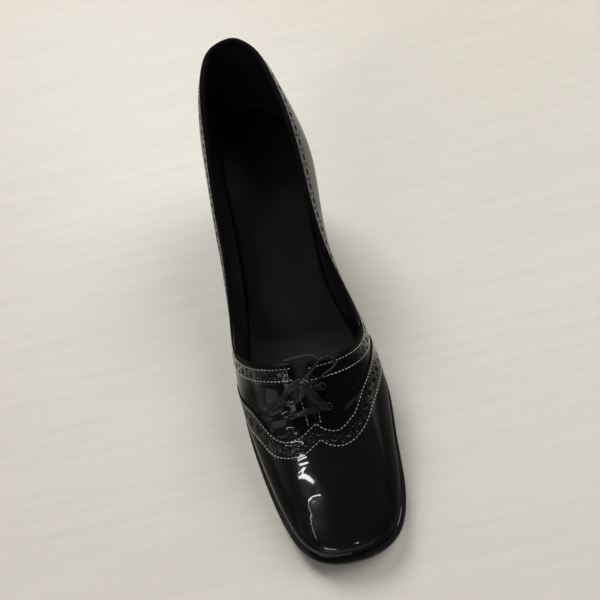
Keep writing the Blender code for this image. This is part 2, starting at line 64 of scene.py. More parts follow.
Plan = namedtuple("Plan", "station lateral medial rim")
PLAN = [
    Plan(246.5, -1.0, 1.0, 0.3),
    Plan(242.6, 12.6, 10.2, 0.3),
    Plan(232.5, 20.3, 18.2, 0.3),
    Plan(216.0, 23.8, 22.2, 0.3),
    Plan(194.0, 24.4, 23.8, 0.3),
    Plan(168.0, 24.9, 22.0, 0.3),
    Plan(142.0, 27.8, 22.4, 0.5),
    Plan(118.0, 33.0, 28.8, 1.6),
    Plan(97.0, 36.5, 34.8, 2.6),
    Plan(78.0, 36.0, 36.2, 2.8),
    Plan(58.0, 33.0, 34.2, 2.9),
    Plan(39.0, 28.8, 32.6, 3.0),
    Plan(22.0, 23.6, 29.8, 3.0),
    Plan(9.5, 16.5, 23.2, 3.0),
    Plan(4.2, 7.8, 13.4, 3.0),
    Plan(3.0, -2.4, 2.4, 3.0),
]
Height = namedtuple("Height", "station under ridge ridge_x square lateral_swell medial_swell")
HEIGHTS = [
    Height(0.0, 5.6, 21.0, 2.4, 2.00, 0.3, 0.3),
    Height(12.0, 3.3, 24.5, 2.4, 2.00, 0.3, 0.3),
    Height(28.0, 1.0, 30.6, 2.2, 2.00, 0.2, 0.8),
    Height(44.0, 0.0, 37.4, 1.6, 2.32, 0.2, 1.5),
    Height(62.0, 0.0, 46.2, 0.4, 2.30, 0.3, 1.9),
    Height(80.0, 0.0, 57.0, -1.0, 2.20, 0.8, 2.2),
    Height(98.0, 0.0, 68.0, -1.2, 2.15, 2.0, 3.0),
    Height(118.0, 3.4, 81.0, -0.6, 2.08, 3.4, 4.6),
    Height(142.0, 16.2, 98.0, 0.2, 1.76, 7.2, 6.2),
    Height(168.0, 33.0, 116.0, 0.2, 1.84, 7.8, 6.0),
    Height(194.0, 47.0, 128.0, 0.0, 1.90, 6.2, 5.9),
    Height(222.0, 54.6, 133.5, 0.0, 2.06, 4.4, 2.7),
    Height(247.5, 57.6, 135.8, 0.0, 2.12, 1.9, 1.9),
]
Topline = namedtuple("Topline", "station lateral medial")
TOPLINE = [
    Topline(77.5, 55.4, 56.0),
    Topline(82.0, 52.8, 49.6),
    Topline(89.0, 47.2, 42.6),
    Topline(96.0, 41.4, 37.4),
    Topline(104.0, 36.6, 33.8),
    Topline(118.0, 33.4, 32.2),
    Topline(140.0, 36.0, 36.0),
    Topline(168.0, 42.0, 43.6),
    Topline(196.0, 49.2, 50.4),
    Topline(224.0, 55.4, 54.4),
    Topline(247.0, 57.4, 57.4),
]
SLIT_END, THROAT = 55.5, 78.0
SLIT_HALF_AT_END = {LATERAL: 2.0, MEDIAL: 0.5}  # edges of the slit, from the ridge
SLIT_HALF_AT_TOP = {LATERAL: 3.7, MEDIAL: 3.3}
TOE_FAN_START, TOE_FAN_POWER = 66.0, 1.2
HEEL_FAN_START, HEEL_FAN_POWER = 194.0, 1.8
SOLE_FOREPART, SOLE_WAIST = 4.6, 3.0
STEP_STATION, STEP_LENGTH = 121.0, 1.4
print("tables:", len(PLAN), "plan rows,", len(HEIGHTS), "height rows,", len(TOPLINE), "topline rows")

# %% [markdown]
# Two kinds of curve run through the rows. A natural spline has no jumps in its bend, which polished leather
# needs, because a mirror shows every jump. A steady curve never runs past its rows, so the flat tread of
# the sole stays flat.

# %% Curves through table rows
def smooth_curve(knots, values, at):
    """A curve through the values whose bend has no jumps."""
    knots, values = np.asarray(knots, float), np.asarray(values, float)
    step = np.diff(knots)
    slope = np.diff(values) / step
    count = len(knots)
    matrix, right = np.eye(count), np.zeros(count)
    for i in range(1, count - 1):
        matrix[i, i - 1:i + 2] = step[i - 1], 2 * (step[i - 1] + step[i]), step[i]
        right[i] = 6 * (slope[i] - slope[i - 1])
    bend = np.linalg.solve(matrix, right)
    at = np.asarray(at, float)
    i = np.clip(np.searchsorted(knots, at) - 1, 0, count - 2)
    after, before, width = at - knots[i], knots[i + 1] - at, step[i]
    return ((bend[i] * before**3 + bend[i + 1] * after**3) / (6 * width)
            + (values[i] / width - bend[i] * width / 6) * before
            + (values[i + 1] / width - bend[i + 1] * width / 6) * after)


def steady_curve(knots, values, at):
    """A curve through the values that never runs past them, so flat stretches stay flat."""
    knots, values = np.asarray(knots, float), np.asarray(values, float)
    step = np.diff(knots)
    slope = np.diff(values) / step
    product = slope[:-1] * slope[1:]
    total = np.where(product > 0, slope[:-1] + slope[1:], 1)
    inner = np.where(product > 0, 2 * product / total, 0)
    tangent = np.concatenate([[slope[0]], inner, [slope[-1]]])
    at = np.asarray(at, float)
    i = np.clip(np.searchsorted(knots, at) - 1, 0, len(knots) - 2)
    u = np.clip((at - knots[i]) / step[i], 0, 1)
    return ((1 + 2 * u) * (1 - u)**2 * values[i] + u * (1 - u)**2 * step[i] * tangent[i]
            + u * u * (3 - 2 * u) * values[i + 1] - u * u * (1 - u) * step[i] * tangent[i + 1])


def column(table, name):
    return np.array([getattr(row, name) for row in table])


def ease(value, low, high):
    """0 below low, 1 above high, and a soft ramp between them."""
    u = np.clip((np.asarray(value, float) - low) / (high - low), 0, 1)
    return u * u * (3 - 2 * u)


def height_column(name, station):
    inside = np.clip(station, 0, HEIGHTS[-1].station)
    return smooth_curve(column(HEIGHTS, "station"), column(HEIGHTS, name), inside)


print("ridge over station 100: %.1f mm" % height_column("ridge", 100.0))

# %% [markdown]
# Now the last itself. A section starts at the feather line and leans on a point of the ridge. Along the
# foot the sections are square to the shoe, and at toe and heel they fan out, like the ribs of an umbrella.
# The turn runs from 0 at the back of the heel to 1 at the toe tip. Across runs from -1 at the outer feather
# line over 0 on the ridge to 1 at the inner one. With these two numbers every seam, crease and stitch has
# an address on the leather.

# %% Plan of the last
FINE_TURNS = np.linspace(0, 1, 4001)


def plan_with_ends():
    """The plan rows with two mirrored rows past each end, for a smooth closed outline, and their knots."""
    def mirrored(row):
        return Plan(row.station, -row.medial, -row.lateral, row.rim)
    rows = [mirrored(PLAN[2]), mirrored(PLAN[1]), *PLAN, mirrored(PLAN[-2]), mirrored(PLAN[-3])]
    legs = []
    for a, b in zip(rows[:-1], rows[1:]):
        along = b.station - a.station
        legs.append((np.hypot(along, b.lateral - a.lateral) + np.hypot(along, b.medial - a.medial)) / 2)
    knots = np.concatenate([[0], np.cumsum(legs)])
    start, end = knots[2], knots[-3]
    return rows, (knots - start) / (end - start)


PLAN_ROWS, PLAN_KNOTS = plan_with_ends()


def plan_column(name, turn):
    return smooth_curve(PLAN_KNOTS, column(PLAN_ROWS, name), turn)


def feather(side, turn):
    """Station and sideways place of the feather line."""
    across = np.where(np.asarray(side) > 0, plan_column("medial", turn), -plan_column("lateral", turn))
    return plan_column("station", turn), across


def turn_at_station(station):
    from_toe = FINE_TURNS[::-1]
    return np.interp(station, plan_column("station", from_toe), from_toe)


def station_rate(turn):
    """How fast the station falls as the turn grows."""
    small = 1e-4
    return (plan_column("station", turn - small) - plan_column("station", turn + small)) / (2 * small)


print("plan has", len(PLAN_ROWS), "rows with its mirrored ends")

# %% The surface of the last
SWELL_PEAK = 0.24  # rise at which the side bulges most


def fan(share, power):
    return (1 - (1 - share)**(power + 1)) / (power + 1)


def spine(turn):
    """Station and sideways place of the ridge point that a section at this turn leans on."""
    turn = np.asarray(turn, float)
    station = plan_column("station", turn)
    toe_turn, heel_turn = turn_at_station(TOE_FAN_START), turn_at_station(HEEL_FAN_START)
    toe_rate, heel_rate = station_rate(toe_turn), station_rate(heel_turn)
    toe_share = np.clip((turn - toe_turn) / (1 - toe_turn), 0, 1)
    heel_share = np.clip((heel_turn - turn) / heel_turn, 0, 1)
    toe_station = TOE_FAN_START - toe_rate * (1 - toe_turn) * fan(toe_share, TOE_FAN_POWER)
    heel_station = HEEL_FAN_START + heel_rate * heel_turn * fan(heel_share, HEEL_FAN_POWER)
    place = np.where(turn > toe_turn, toe_station, np.where(turn < heel_turn, heel_station, station))
    return place, height_column("ridge_x", place)


def tread(station):
    """Underside of a sole as thick as its forepart all along: flat under the ball, rising to the seat."""
    inside = np.clip(station, 0, HEIGHTS[-1].station)
    return steady_curve(column(HEIGHTS, "station"), column(HEIGHTS, "under"), inside)


def sole_under(station):
    step = np.clip((np.asarray(station) - STEP_STATION) / STEP_LENGTH, 0, 1)
    return tread(station) + (SOLE_FOREPART - SOLE_WAIST) * step


def sole_top(station):
    return tread(station) + SOLE_FOREPART


def last_surface(side, turn, rise):
    """Outer face of the leather in millimetres: rise runs from 0 at the feather line to 1 on the ridge."""
    foot_station, foot_x = feather(side, turn)
    ridge_station, ridge_x = spine(turn)
    power = 2 / height_column("square", ridge_station)
    angle = np.clip(rise, 0, 1) * np.pi / 2
    inward = np.clip(np.cos(angle), 1e-9, 1)**power
    upward = np.clip(np.sin(angle), 0, 1)**power
    reach = np.hypot(foot_x - ridge_x, foot_station - ridge_station)
    medial, lateral = (height_column(name, foot_station) for name in ("medial_swell", "lateral_swell"))
    swell = np.where(side > 0, medial, lateral)
    bulge = swell * (rise / SWELL_PEAK) * np.exp(1 - rise / SWELL_PEAK) * (1 - rise**2)**2
    outward = inward + bulge / reach
    x = ridge_x + (foot_x - ridge_x) * outward
    station = ridge_station + (foot_station - ridge_station) * outward
    foot_z = sole_top(foot_station) + GAP
    small = 0.5
    ahead = height_column("ridge", ridge_station - small)
    behind = height_column("ridge", ridge_station + small)
    slope = (behind - ahead) / (2 * small)
    lean = np.where(ridge_station < TOE_FAN_START, slope * (station - ridge_station), 0) * upward**2
    z = foot_z + (height_column("ridge", ridge_station) - foot_z) * upward + lean
    return np.stack([x, station, z], axis=-1)


print("sole is %.1f mm thick under the ball" % (sole_top(80.0) - sole_under(80.0)))

# %% Places on the leather
def skin(turn, across):
    """A point on the leather in millimetres, from its turn and its place across."""
    turn, across = np.broadcast_arrays(np.asarray(turn, float), np.asarray(across, float))
    square = height_column("square", spine(turn)[0])
    rise = 1 - np.clip(np.abs(across), 0, 1)**(square / 2)
    return last_surface(np.where(across >= 0, MEDIAL, LATERAL), turn, rise)


def skin_slopes(turn, across):
    """How a point on the leather moves with its turn and with its place across."""
    small = 1e-3
    turn = np.clip(turn, 2 * small, 1 - 2 * small)
    across = np.clip(across, small - 1, 1 - small)
    along = (skin(turn + small, across) - skin(turn - small, across)) / (2 * small)
    over = (skin(turn, across + small) - skin(turn, across - small)) / (2 * small)
    return along, over


def skin_normal(turn, across):
    along, over = skin_slopes(turn, across)
    normal = np.cross(along, over)
    return normal / np.linalg.norm(normal, axis=-1, keepdims=True)


def across_at_rise(turn, rise):
    return (1 - rise)**(2 / height_column("square", spine(turn)[0]))


def rise_at_distance(side, turn, distance):
    """The rise at which the leather lies this far sideways from the ridge."""
    foot_station, foot_x = feather(side, turn)
    ridge_station, ridge_x = spine(turn)
    reach = np.hypot(foot_x - ridge_x, foot_station - ridge_station)
    half_power = height_column("square", ridge_station) / 2
    return np.arccos(np.clip(distance / reach, 0, 1)**half_power) * 2 / np.pi


def turn_at_ridge(station):
    """The turn whose section leans on the ridge at this station."""
    return np.interp(-np.asarray(station, float), -spine(FINE_TURNS)[0], FINE_TURNS)


def place(points):
    """From the shoe's own millimetres to metres in the frame."""
    return (np.asarray(points, float) - [CENTRE_OFFSET, CENTRE_STATION, 0]) * MM


print("toe tip of the leather, in metres:", place(skin(1.0, 1.0)).round(4).tolist())

# %% [markdown]
# The camera has the photo's viewing angle on the shoe: in front of the toe, about 35 cm away, looking down
# at 60 degrees and a little rolled. It is aimed at the middle of the shoe. Placing it before modelling the
# looks means that each new piece can be judged from the right side at once.

# %% Camera
CAMERA_PLACE = Vector((0.02148, -0.17100, 0.32313))
CAMERA_AIM = Vector((0.0049, 0.0008, 0.0400))
CAMERA_ROLL = np.radians(18.2)
CAMERA_LENS = 38.4

forward = (CAMERA_AIM - CAMERA_PLACE).normalized()
level_right = forward.cross(Vector((0, 0, 1))).normalized()
level_up = level_right.cross(forward)
camera_up = level_up * np.cos(CAMERA_ROLL) + level_right * np.sin(CAMERA_ROLL)
camera_right = forward.cross(camera_up)
camera = bpy.data.objects.new("camera", bpy.data.cameras.new("camera"))
bpy.context.scene.collection.objects.link(camera)
turned = Matrix((camera_right, camera_up, -forward)).transposed().to_4x4()
camera.matrix_world = Matrix.Translation(CAMERA_PLACE) @ turned
camera.data.lens = CAMERA_LENS
camera.data.sensor_width = 36.0
camera.data.clip_start = 0.01
bpy.context.scene.camera = camera
print("camera is %.0f mm from its aim" % ((CAMERA_AIM - CAMERA_PLACE).length / MM))

# %% [markdown]
# Every material here is a Principled shader with procedural detail. A few helpers keep the node work short:
# one adds a noise in object space, whose coordinates are metres in the frame, one maps a range, one joins a
# height to a bump.

# %% Helpers for materials
def new_material(name, colour, roughness, **sockets):
    """A material with a Principled shader; extra sockets are given by name with underscores for spaces."""
    material = bpy.data.materials.new(name)
    material.use_nodes = True
    shader = material.node_tree.nodes["Principled BSDF"]
    shader.inputs["Base Color"].default_value = (*colour, 1.0)
    shader.inputs["Roughness"].default_value = roughness
    for socket, value in sockets.items():
        shader.inputs[socket.replace("_", " ")].default_value = value
    return material, material.node_tree, shader


def add_node(tree, kind, **values):
    """A node of this kind; values are its properties, or its inputs where the name starts with in_."""
    node = tree.nodes.new(kind)
    for name, value in values.items():
        if name.startswith("in_"):
            node.inputs[name[3:].replace("_", " ")].default_value = value
        else:
            setattr(node, name, value)
    return node


def noise(tree, scale, detail=3.0, rough=0.5, stretch=(1, 1, 1)):
    """Noise in object space; scale is in cycles a metre."""
    where = add_node(tree, "ShaderNodeTexCoord")
    mapping = add_node(tree, "ShaderNodeMapping", in_Scale=stretch)
    tree.links.new(where.outputs["Object"], mapping.inputs["Vector"])
    node = add_node(tree, "ShaderNodeTexNoise", in_Scale=scale, in_Detail=detail, in_Roughness=rough)
    tree.links.new(mapping.outputs["Vector"], node.inputs["Vector"])
    return node.outputs["Fac"]


def ribbing(tree, scale, distortion, detail=2.0):
    """Fine diagonal ribs in object space, as of woven or twisted thread."""
    where = add_node(tree, "ShaderNodeTexCoord")
    node = add_node(tree, "ShaderNodeTexWave", bands_direction="DIAGONAL", in_Scale=scale,
                    in_Distortion=distortion, in_Detail=detail)
    tree.links.new(where.outputs["Object"], node.inputs["Vector"])
    return node.outputs["Fac"]


def attribute(tree, name):
    return add_node(tree, "ShaderNodeAttribute", attribute_name=name).outputs["Fac"]


def remap(tree, value, low, high, new_low, new_high):
    node = add_node(tree, "ShaderNodeMapRange", in_From_Min=low, in_From_Max=high,
                    in_To_Min=new_low, in_To_Max=new_high)
    tree.links.new(value, node.inputs["Value"])
    return node.outputs["Result"]


def join(tree, operation, first, second):
    """A sum, product or larger of two values; either may be a plain number."""
    node = add_node(tree, "ShaderNodeMath", operation=operation)
    for socket, value in zip(node.inputs, (first, second)):
        if isinstance(value, (int, float)):
            socket.default_value = value
        else:
            tree.links.new(value, socket)
    return node.outputs["Value"]


def blend_colour(tree, share, first, second):
    """A colour between two, by a share that changes over the surface."""
    ramp = add_node(tree, "ShaderNodeValToRGB")
    ramp.color_ramp.elements[0].color = (*first, 1.0)
    ramp.color_ramp.elements[1].color = (*second, 1.0)
    tree.links.new(share, ramp.inputs["Fac"])
    return ramp.outputs["Color"]


def bump(tree, height, strength, distance, under=None):
    """A bump from a height; distance is the height of a full step, in metres."""
    node = add_node(tree, "ShaderNodeBump", in_Strength=strength, in_Distance=distance)
    tree.links.new(height, node.inputs["Height"])
    if under is not None:
        tree.links.new(under, node.inputs["Normal"])
    return node.outputs["Normal"]


def connect(node, socket, value):
    """Lets a value that changes over the surface set a node's socket."""
    node.id_data.links.new(value, node.inputs[socket])


print("material helpers ready")

# %% [markdown]
# The lace is a flat waxed cotton ribbon, so its weave is a fine ribbing and its wax a soft shine. A weave
# drawn along the ribbon would need a map; a fine diagonal wave in object space looks the same at this size.

# %% Lace material
LACE_BLACK = (0.007, 0.007, 0.0075)
lace_material, tree, shader = new_material("waxed_lace", LACE_BLACK, 0.38, Coat_Weight=0.15,
                                           Coat_Roughness=0.22, Specular_IOR_Level=0.25)
weave = ribbing(tree, 620.0, 1.2, 1.0)
connect(shader, "Normal", bump(tree, weave, 0.35, 0.00012))
connect(shader, "Roughness", remap(tree, noise(tree, 300.0), 0.3, 0.7, 0.26, 0.46))
print("lace material made")

# %% [markdown]
# The bow is tied from the two ends of one lace. Each half comes out of the knot as a loop, goes back
# through the knot and leaves as a free end, so each is one ribbon along one path. A path is a list of
# places over the vamp: the ridge station below it, the distance from the ridge, the lift, and a twist that
# says whether the ribbon lies flat or stands on edge. A curve with a bevel would twist by itself; a swept
# section keeps the ribbon's face where we want it.

# %% Ribbon helpers
RIBBON_WIDTH, RIBBON_THICK = 3.7, 0.9
RIBBON_STEP, RIBBON_SIDES = 0.6, 14
Strand = namedtuple("Strand", "station distance lift twist")


def over_vamp(station, distance, lift):
    """A point over the vamp and the leather's normal there, in millimetres."""
    turn = turn_at_ridge(station)
    distance = np.asarray(distance, float)
    rise = rise_at_distance(np.where(distance >= 0, MEDIAL, LATERAL), turn, np.abs(distance))
    across = np.sign(distance) * across_at_rise(turn, rise)
    normal = skin_normal(turn, across)
    return skin(turn, across) + np.asarray(lift)[..., None] * normal, normal


def unit(vectors):
    return vectors / np.linalg.norm(vectors, axis=-1, keepdims=True)


def lengths_along(points):
    """The length walked at each point of a line, in millimetres."""
    return np.concatenate([[0], np.cumsum(np.linalg.norm(np.diff(points, axis=0), axis=1))])


def points_at(at, lengths, points):
    """Points at these lengths along a line."""
    return np.stack([np.interp(at, lengths, points[:, k]) for k in range(3)], axis=-1)


def ribbon_rings(points, normals, twist, width, thick):
    """Rings of a flat ribbon along points: its face looks along the normal, turned by a twist in degrees."""
    tangent = unit(np.gradient(points, axis=0))
    face = unit(normals - (normals * tangent).sum(-1, keepdims=True) * tangent)
    edge = np.cross(tangent, face)
    angle = np.radians(twist)[:, None]
    turned_face = np.cos(angle) * face + np.sin(angle) * edge
    turned_edge = np.cross(tangent, turned_face)
    around = np.linspace(0, 2 * np.pi, RIBBON_SIDES, endpoint=False)
    wide = np.sign(np.cos(around)) * np.abs(np.cos(around))**0.6 * width / 2
    high = np.sign(np.sin(around)) * np.abs(np.sin(around))**0.75 * thick / 2
    sideways = wide[None, :, None] * turned_edge[:, None]
    upward = high[None, :, None] * turned_face[:, None]
    return points[:, None] + sideways + upward


def route(rows):
    """Points, normals and twists at even steps along a smooth curve through strand rows."""
    corners, normals = over_vamp(column(rows, "station"), column(rows, "distance"), column(rows, "lift"))
    knots = lengths_along(corners)
    at = np.linspace(0, knots[-1], int(knots[-1] / RIBBON_STEP) + 1)
    points = np.stack([smooth_curve(knots, corners[:, k], at) for k in range(3)], axis=-1)
    return points, unit(points_at(at, knots, normals)), np.interp(at, knots, column(rows, "twist"))


print("ribbon is", RIBBON_WIDTH, "mm wide")

# %% [markdown]
# Every piece is made the same way: a grid of points, a list of faces between them, and one call that turns
# both into a Blender mesh and tells the frame what the piece replaces. Two more helpers weld seams and
# store values on the points, for a material to read.

# %% Mesh helpers
def grid_faces(rows, columns, wrap=False):
    """Quads of a grid of points, rows by columns; wrap joins the last column to the first."""
    i = np.arange(rows - 1)[:, None]
    j = np.arange(columns if wrap else columns - 1)[None, :]
    right = (j + 1) % columns
    corners = [i * columns + j, (i + 1) * columns + j, (i + 1) * columns + right, i * columns + right]
    return np.stack(np.broadcast_arrays(*corners), axis=-1).reshape(-1, 4)


def make_piece(name, points, faces, materials, replaced=(), material_index=None):
    """A smooth mesh piece that rides on the shoe; points are in the shoe's millimetres."""
    mesh = bpy.data.meshes.new(name)
    mesh.from_pydata(place(points).reshape(-1, 3).tolist(), [], [list(face) for face in faces])
    for material in materials:
        mesh.materials.append(material)
    if material_index is not None:
        mesh.polygons.foreach_set("material_index", np.asarray(material_index, np.int32))
    mesh.shade_smooth()
    piece = bpy.data.objects.new(name, mesh)
    bpy.context.scene.collection.objects.link(piece)
    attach(piece, "root")
    if replaced:
        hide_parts(*replaced)
    return piece


def swept(rings):
    """Points and faces of a tube through rings, with both ends closed."""
    count, sides = rings.shape[:2]
    faces = grid_faces(count, sides, wrap=True).tolist()
    faces.append(list(range(sides)))
    faces.append(list(range((count - 1) * sides, count * sides))[::-1])
    return rings.reshape(-1, 3), faces


def welded(piece, sharp, distance):
    """Joins points closer than a distance in millimetres, turns faces outward and marks sharp edges."""
    weld = bmesh.new()
    weld.from_mesh(piece.data)
    bmesh.ops.remove_doubles(weld, verts=weld.verts, dist=distance * MM)
    bmesh.ops.recalc_face_normals(weld, faces=weld.faces)
    weld.to_mesh(piece.data)
    weld.free()
    piece.data.set_sharp_from_angle(angle=np.radians(sharp))


def set_value(piece, name, values):
    """Stores one value for each point of a piece, for its material to read."""
    data = piece.data.attributes.new(name, "FLOAT", "POINT")
    data.data.foreach_set("value", np.asarray(values, np.float32).ravel())


print("mesh helpers ready")

# %% [markdown]
# In the photo one loop stands open towards the inner side, its ribbon on edge, and the other droops flat
# over the outer side. One end lies on the vamp towards the inner side and catches the light, the other lies
# on the outer side.

# %% Bow
BOW = {
    "lace_bow_right": [
        Strand(73.0, 1.0, 5.6, 30), Strand(72.6, 3.6, 5.8, 55), Strand(74.0, 6.7, 6.0, 70),
        Strand(75.7, 9.6, 6.4, 74), Strand(77.7, 12.8, 6.4, 80), Strand(79.6, 14.2, 6.2, 90),
        Strand(81.3, 13.4, 6.0, 90), Strand(82.1, 11.3, 6.0, 90), Strand(81.7, 9.0, 6.2, 88),
        Strand(80.0, 7.2, 6.5, 84), Strand(78.1, 5.2, 6.6, 78), Strand(76.2, 2.8, 6.4, 62),
        Strand(73.6, 0.2, 5.8, 30), Strand(70.9, -3.5, 4.4, 8), Strand(69.5, -8.5, 2.4, 0),
        Strand(68.8, -12.9, 1.1, 0), Strand(68.2, -16.3, 0.8, 0), Strand(67.9, -19.6, 0.7, 0),
    ],
    "lace_bow_left": [
        Strand(73.4, 0.6, 5.6, 0), Strand(74.0, -1.6, 6.2, 0), Strand(73.4, -4.2, 6.0, -10),
        Strand(71.9, -6.8, 5.2, -25), Strand(69.9, -8.4, 4.2, -45), Strand(68.0, -8.2, 3.6, -50),
        Strand(67.6, -6.0, 3.6, -35), Strand(68.9, -3.2, 4.6, -12), Strand(70.6, -0.6, 5.8, 0),
        Strand(70.6, 1.4, 5.9, 0), Strand(69.0, 2.2, 5.0, 0), Strand(67.0, 2.9, 3.9, 0),
        Strand(64.7, 4.0, 2.9, 0), Strand(62.0, 5.8, 1.9, 0),
    ],
}
REPLACED = {
    "lace_bow_right": ("lace_loop_right", "lace_end_left"),
    "lace_bow_left": ("lace_loop_left", "lace_end_right"),
}
for name, rows in BOW.items():
    points, normals, twist = route(rows)
    vertices, faces = swept(ribbon_rings(points, normals, twist, RIBBON_WIDTH, RIBBON_THICK))
    bow = make_piece(name, vertices, faces, [lace_material], REPLACED[name])

# %% [markdown]
# The knot is the ribbon wrapped once round the crossing. A barrel with pulled-in ends and a slanted wrap
# does it: the section is a flat oval, its size swells in the middle, and a shallow groove runs round it at
# an angle.

# %% Knot
KNOT = Strand(72.6, 0.3, 5.9, 0)
KNOT_LENGTH, KNOT_WIDE, KNOT_HIGH = 6.6, 6.4, 4.8
KNOT_RINGS, KNOT_SIDES = 20, 28
KNOT_AXIS = np.array([1.0, 0.55, 0.15])

centre, normal = over_vamp(KNOT.station, KNOT.distance, KNOT.lift)
axis = unit(KNOT_AXIS - normal * (KNOT_AXIS @ normal))
cross_axis = np.cross(normal, axis)
share = np.linspace(-1, 1, KNOT_RINGS)[:, None]
around = np.linspace(0, 2 * np.pi, KNOT_SIDES, endpoint=False)[None, :]
size = 0.5 * (1 - np.abs(share)**3.2)**0.5 + 0.02
slanted = 0.10 * np.exp(-((share - 0.35 * np.sin(around)) / 0.16)**2)
pinched = 0.06 * np.exp(-((share + 0.5) / 0.1)**2)
groove = 1 - slanted - pinched
knot_points = (centre + (share * KNOT_LENGTH / 2)[..., None] * axis
               + (size * groove * np.cos(around) * KNOT_WIDE)[..., None] * cross_axis
               + (size * groove * np.sin(around) * KNOT_HIGH)[..., None] * normal)
vertices, faces = swept(knot_points)
make_piece("lace_tie", vertices, faces, [lace_material], ("lace_knot",))
print("knot at", place(centre).round(4).tolist())

# %% [markdown]
# The leather comes next. The upper is one shell, from the feather line up to the collar, outside and
# inside. Walking creases are drawn as soft ridges and troughs along lines on the leather: each has a
# height, a half width and a few places it runs through. The outer side of the vamp is creased most, where
# the foot rolls off. On the toe they are slight swells, at most a fifth of a millimetre high, that break up
# a lamp's reflection in the lacquer.

# %% Creases
Crease = namedtuple("Crease", "height width places")
CREASES = [
    # folds of the outer vamp
    Crease(-0.42, 3.4, [(0.662, -0.55), (0.667, -0.42), (0.671, -0.30), (0.676, -0.18)]),
    Crease(0.42, 3.0, [(0.686, -0.56), (0.691, -0.43), (0.695, -0.31), (0.697, -0.19)]),
    Crease(-0.45, 1.7, [(0.694, -0.55), (0.700, -0.42), (0.703, -0.31), (0.704, -0.20)]),
    Crease(0.32, 2.0, [(0.706, -0.53), (0.711, -0.42), (0.715, -0.31), (0.716, -0.20)]),
    Crease(-0.40, 1.7, [(0.712, -0.51), (0.718, -0.40), (0.721, -0.30), (0.720, -0.20)]),
    Crease(0.34, 2.6, [(0.729, -0.47), (0.735, -0.37), (0.739, -0.28), (0.739, -0.18)]),
    Crease(-0.34, 1.5, [(0.736, -0.45), (0.743, -0.37), (0.746, -0.30), (0.747, -0.23)]),
    # crinkles in the wing band
    Crease(-0.30, 0.9, [(0.764, -0.36), (0.770, -0.300), (0.772, -0.240), (0.778, -0.180)]),
    Crease(0.28, 0.8, [(0.768, -0.37), (0.775, -0.320), (0.776, -0.265), (0.783, -0.215)]),
    Crease(-0.30, 0.8, [(0.772, -0.40), (0.780, -0.335), (0.780, -0.275), (0.789, -0.215)]),
    Crease(0.26, 0.8, [(0.781, -0.36), (0.786, -0.305), (0.785, -0.240), (0.792, -0.165)]),
    # swells of the toe
    Crease(0.14, 3.0, [(0.786, -0.300), (0.789, -0.250), (0.792, -0.200), (0.795, -0.150)]),
    Crease(0.040, 1.1, [(0.804, -0.290), (0.807, -0.250), (0.809, -0.210), (0.811, -0.170)]),
    Crease(0.022, 0.8, [(0.8135, -0.290), (0.816, -0.250), (0.8185, -0.210), (0.820, -0.170)]),
    Crease(-0.12, 3.0, [(0.822, -0.340), (0.842, -0.290), (0.860, -0.250), (0.876, -0.210)]),
    Crease(0.08, 3.0, [(0.822, -0.240), (0.842, -0.190), (0.860, -0.150), (0.876, -0.110)]),
    Crease(0.20, 8.0, [(0.893, -0.46), (0.886, -0.32), (0.892, -0.20), (0.907, -0.05)]),
    Crease(0.045, 1.2, [(0.895, -0.44), (0.879, -0.33), (0.886, -0.25), (0.905, -0.17)]),
    # folds of the inner vamp
    Crease(0.50, 2.8, [(0.660, 0.58), (0.682, 0.430), (0.700, 0.300), (0.712, 0.190)]),
    Crease(-0.45, 2.0, [(0.682, 0.56), (0.704, 0.420), (0.722, 0.290), (0.734, 0.160)]),
    Crease(0.32, 2.2, [(0.706, 0.50), (0.726, 0.360), (0.742, 0.240)]),
]
CREASE_SAMPLES = 40
crease_lines = []
for crease in CREASES:
    knots = np.linspace(0, 1, len(crease.places))
    shares = np.linspace(0, 1, CREASE_SAMPLES)
    turns, acrosses = (smooth_curve(knots, [spot[k] for spot in crease.places], shares) for k in (0, 1))
    crease_lines.append((skin(turns, acrosses), 1 - (2 * shares - 1)**4))


def crease_lift(points):
    """How far the creases lift or sink each of these points, in millimetres."""
    flat = points.reshape(-1, 3)
    total = np.zeros(len(flat))
    for crease, (line, fade) in zip(CREASES, crease_lines):
        reach = 3 * crease.width
        near = np.all((flat > line.min(axis=0) - reach) & (flat < line.max(axis=0) + reach), axis=1)
        if near.any():
            distance = np.linalg.norm(flat[near][:, None] - line[None], axis=-1)
            closest = distance.argmin(axis=1)
            height = np.exp(-(distance.min(axis=1) / crease.width)**2)
            total[near] += crease.height * height * fade[closest]
    return total.reshape(points.shape[:-1])


print(len(CREASES), "creases")

# %% [markdown]
# The wing band decides the shoe's look: a perforated strip between two rows of stitches, from the sole up
# over two lobes to a point below the lacing. It is the edge of the wing cap, which lies on top of the vamp.
# Two lines are kept in one table, the back row and the front row, with their places matched, so the strip
# is ruled between them.

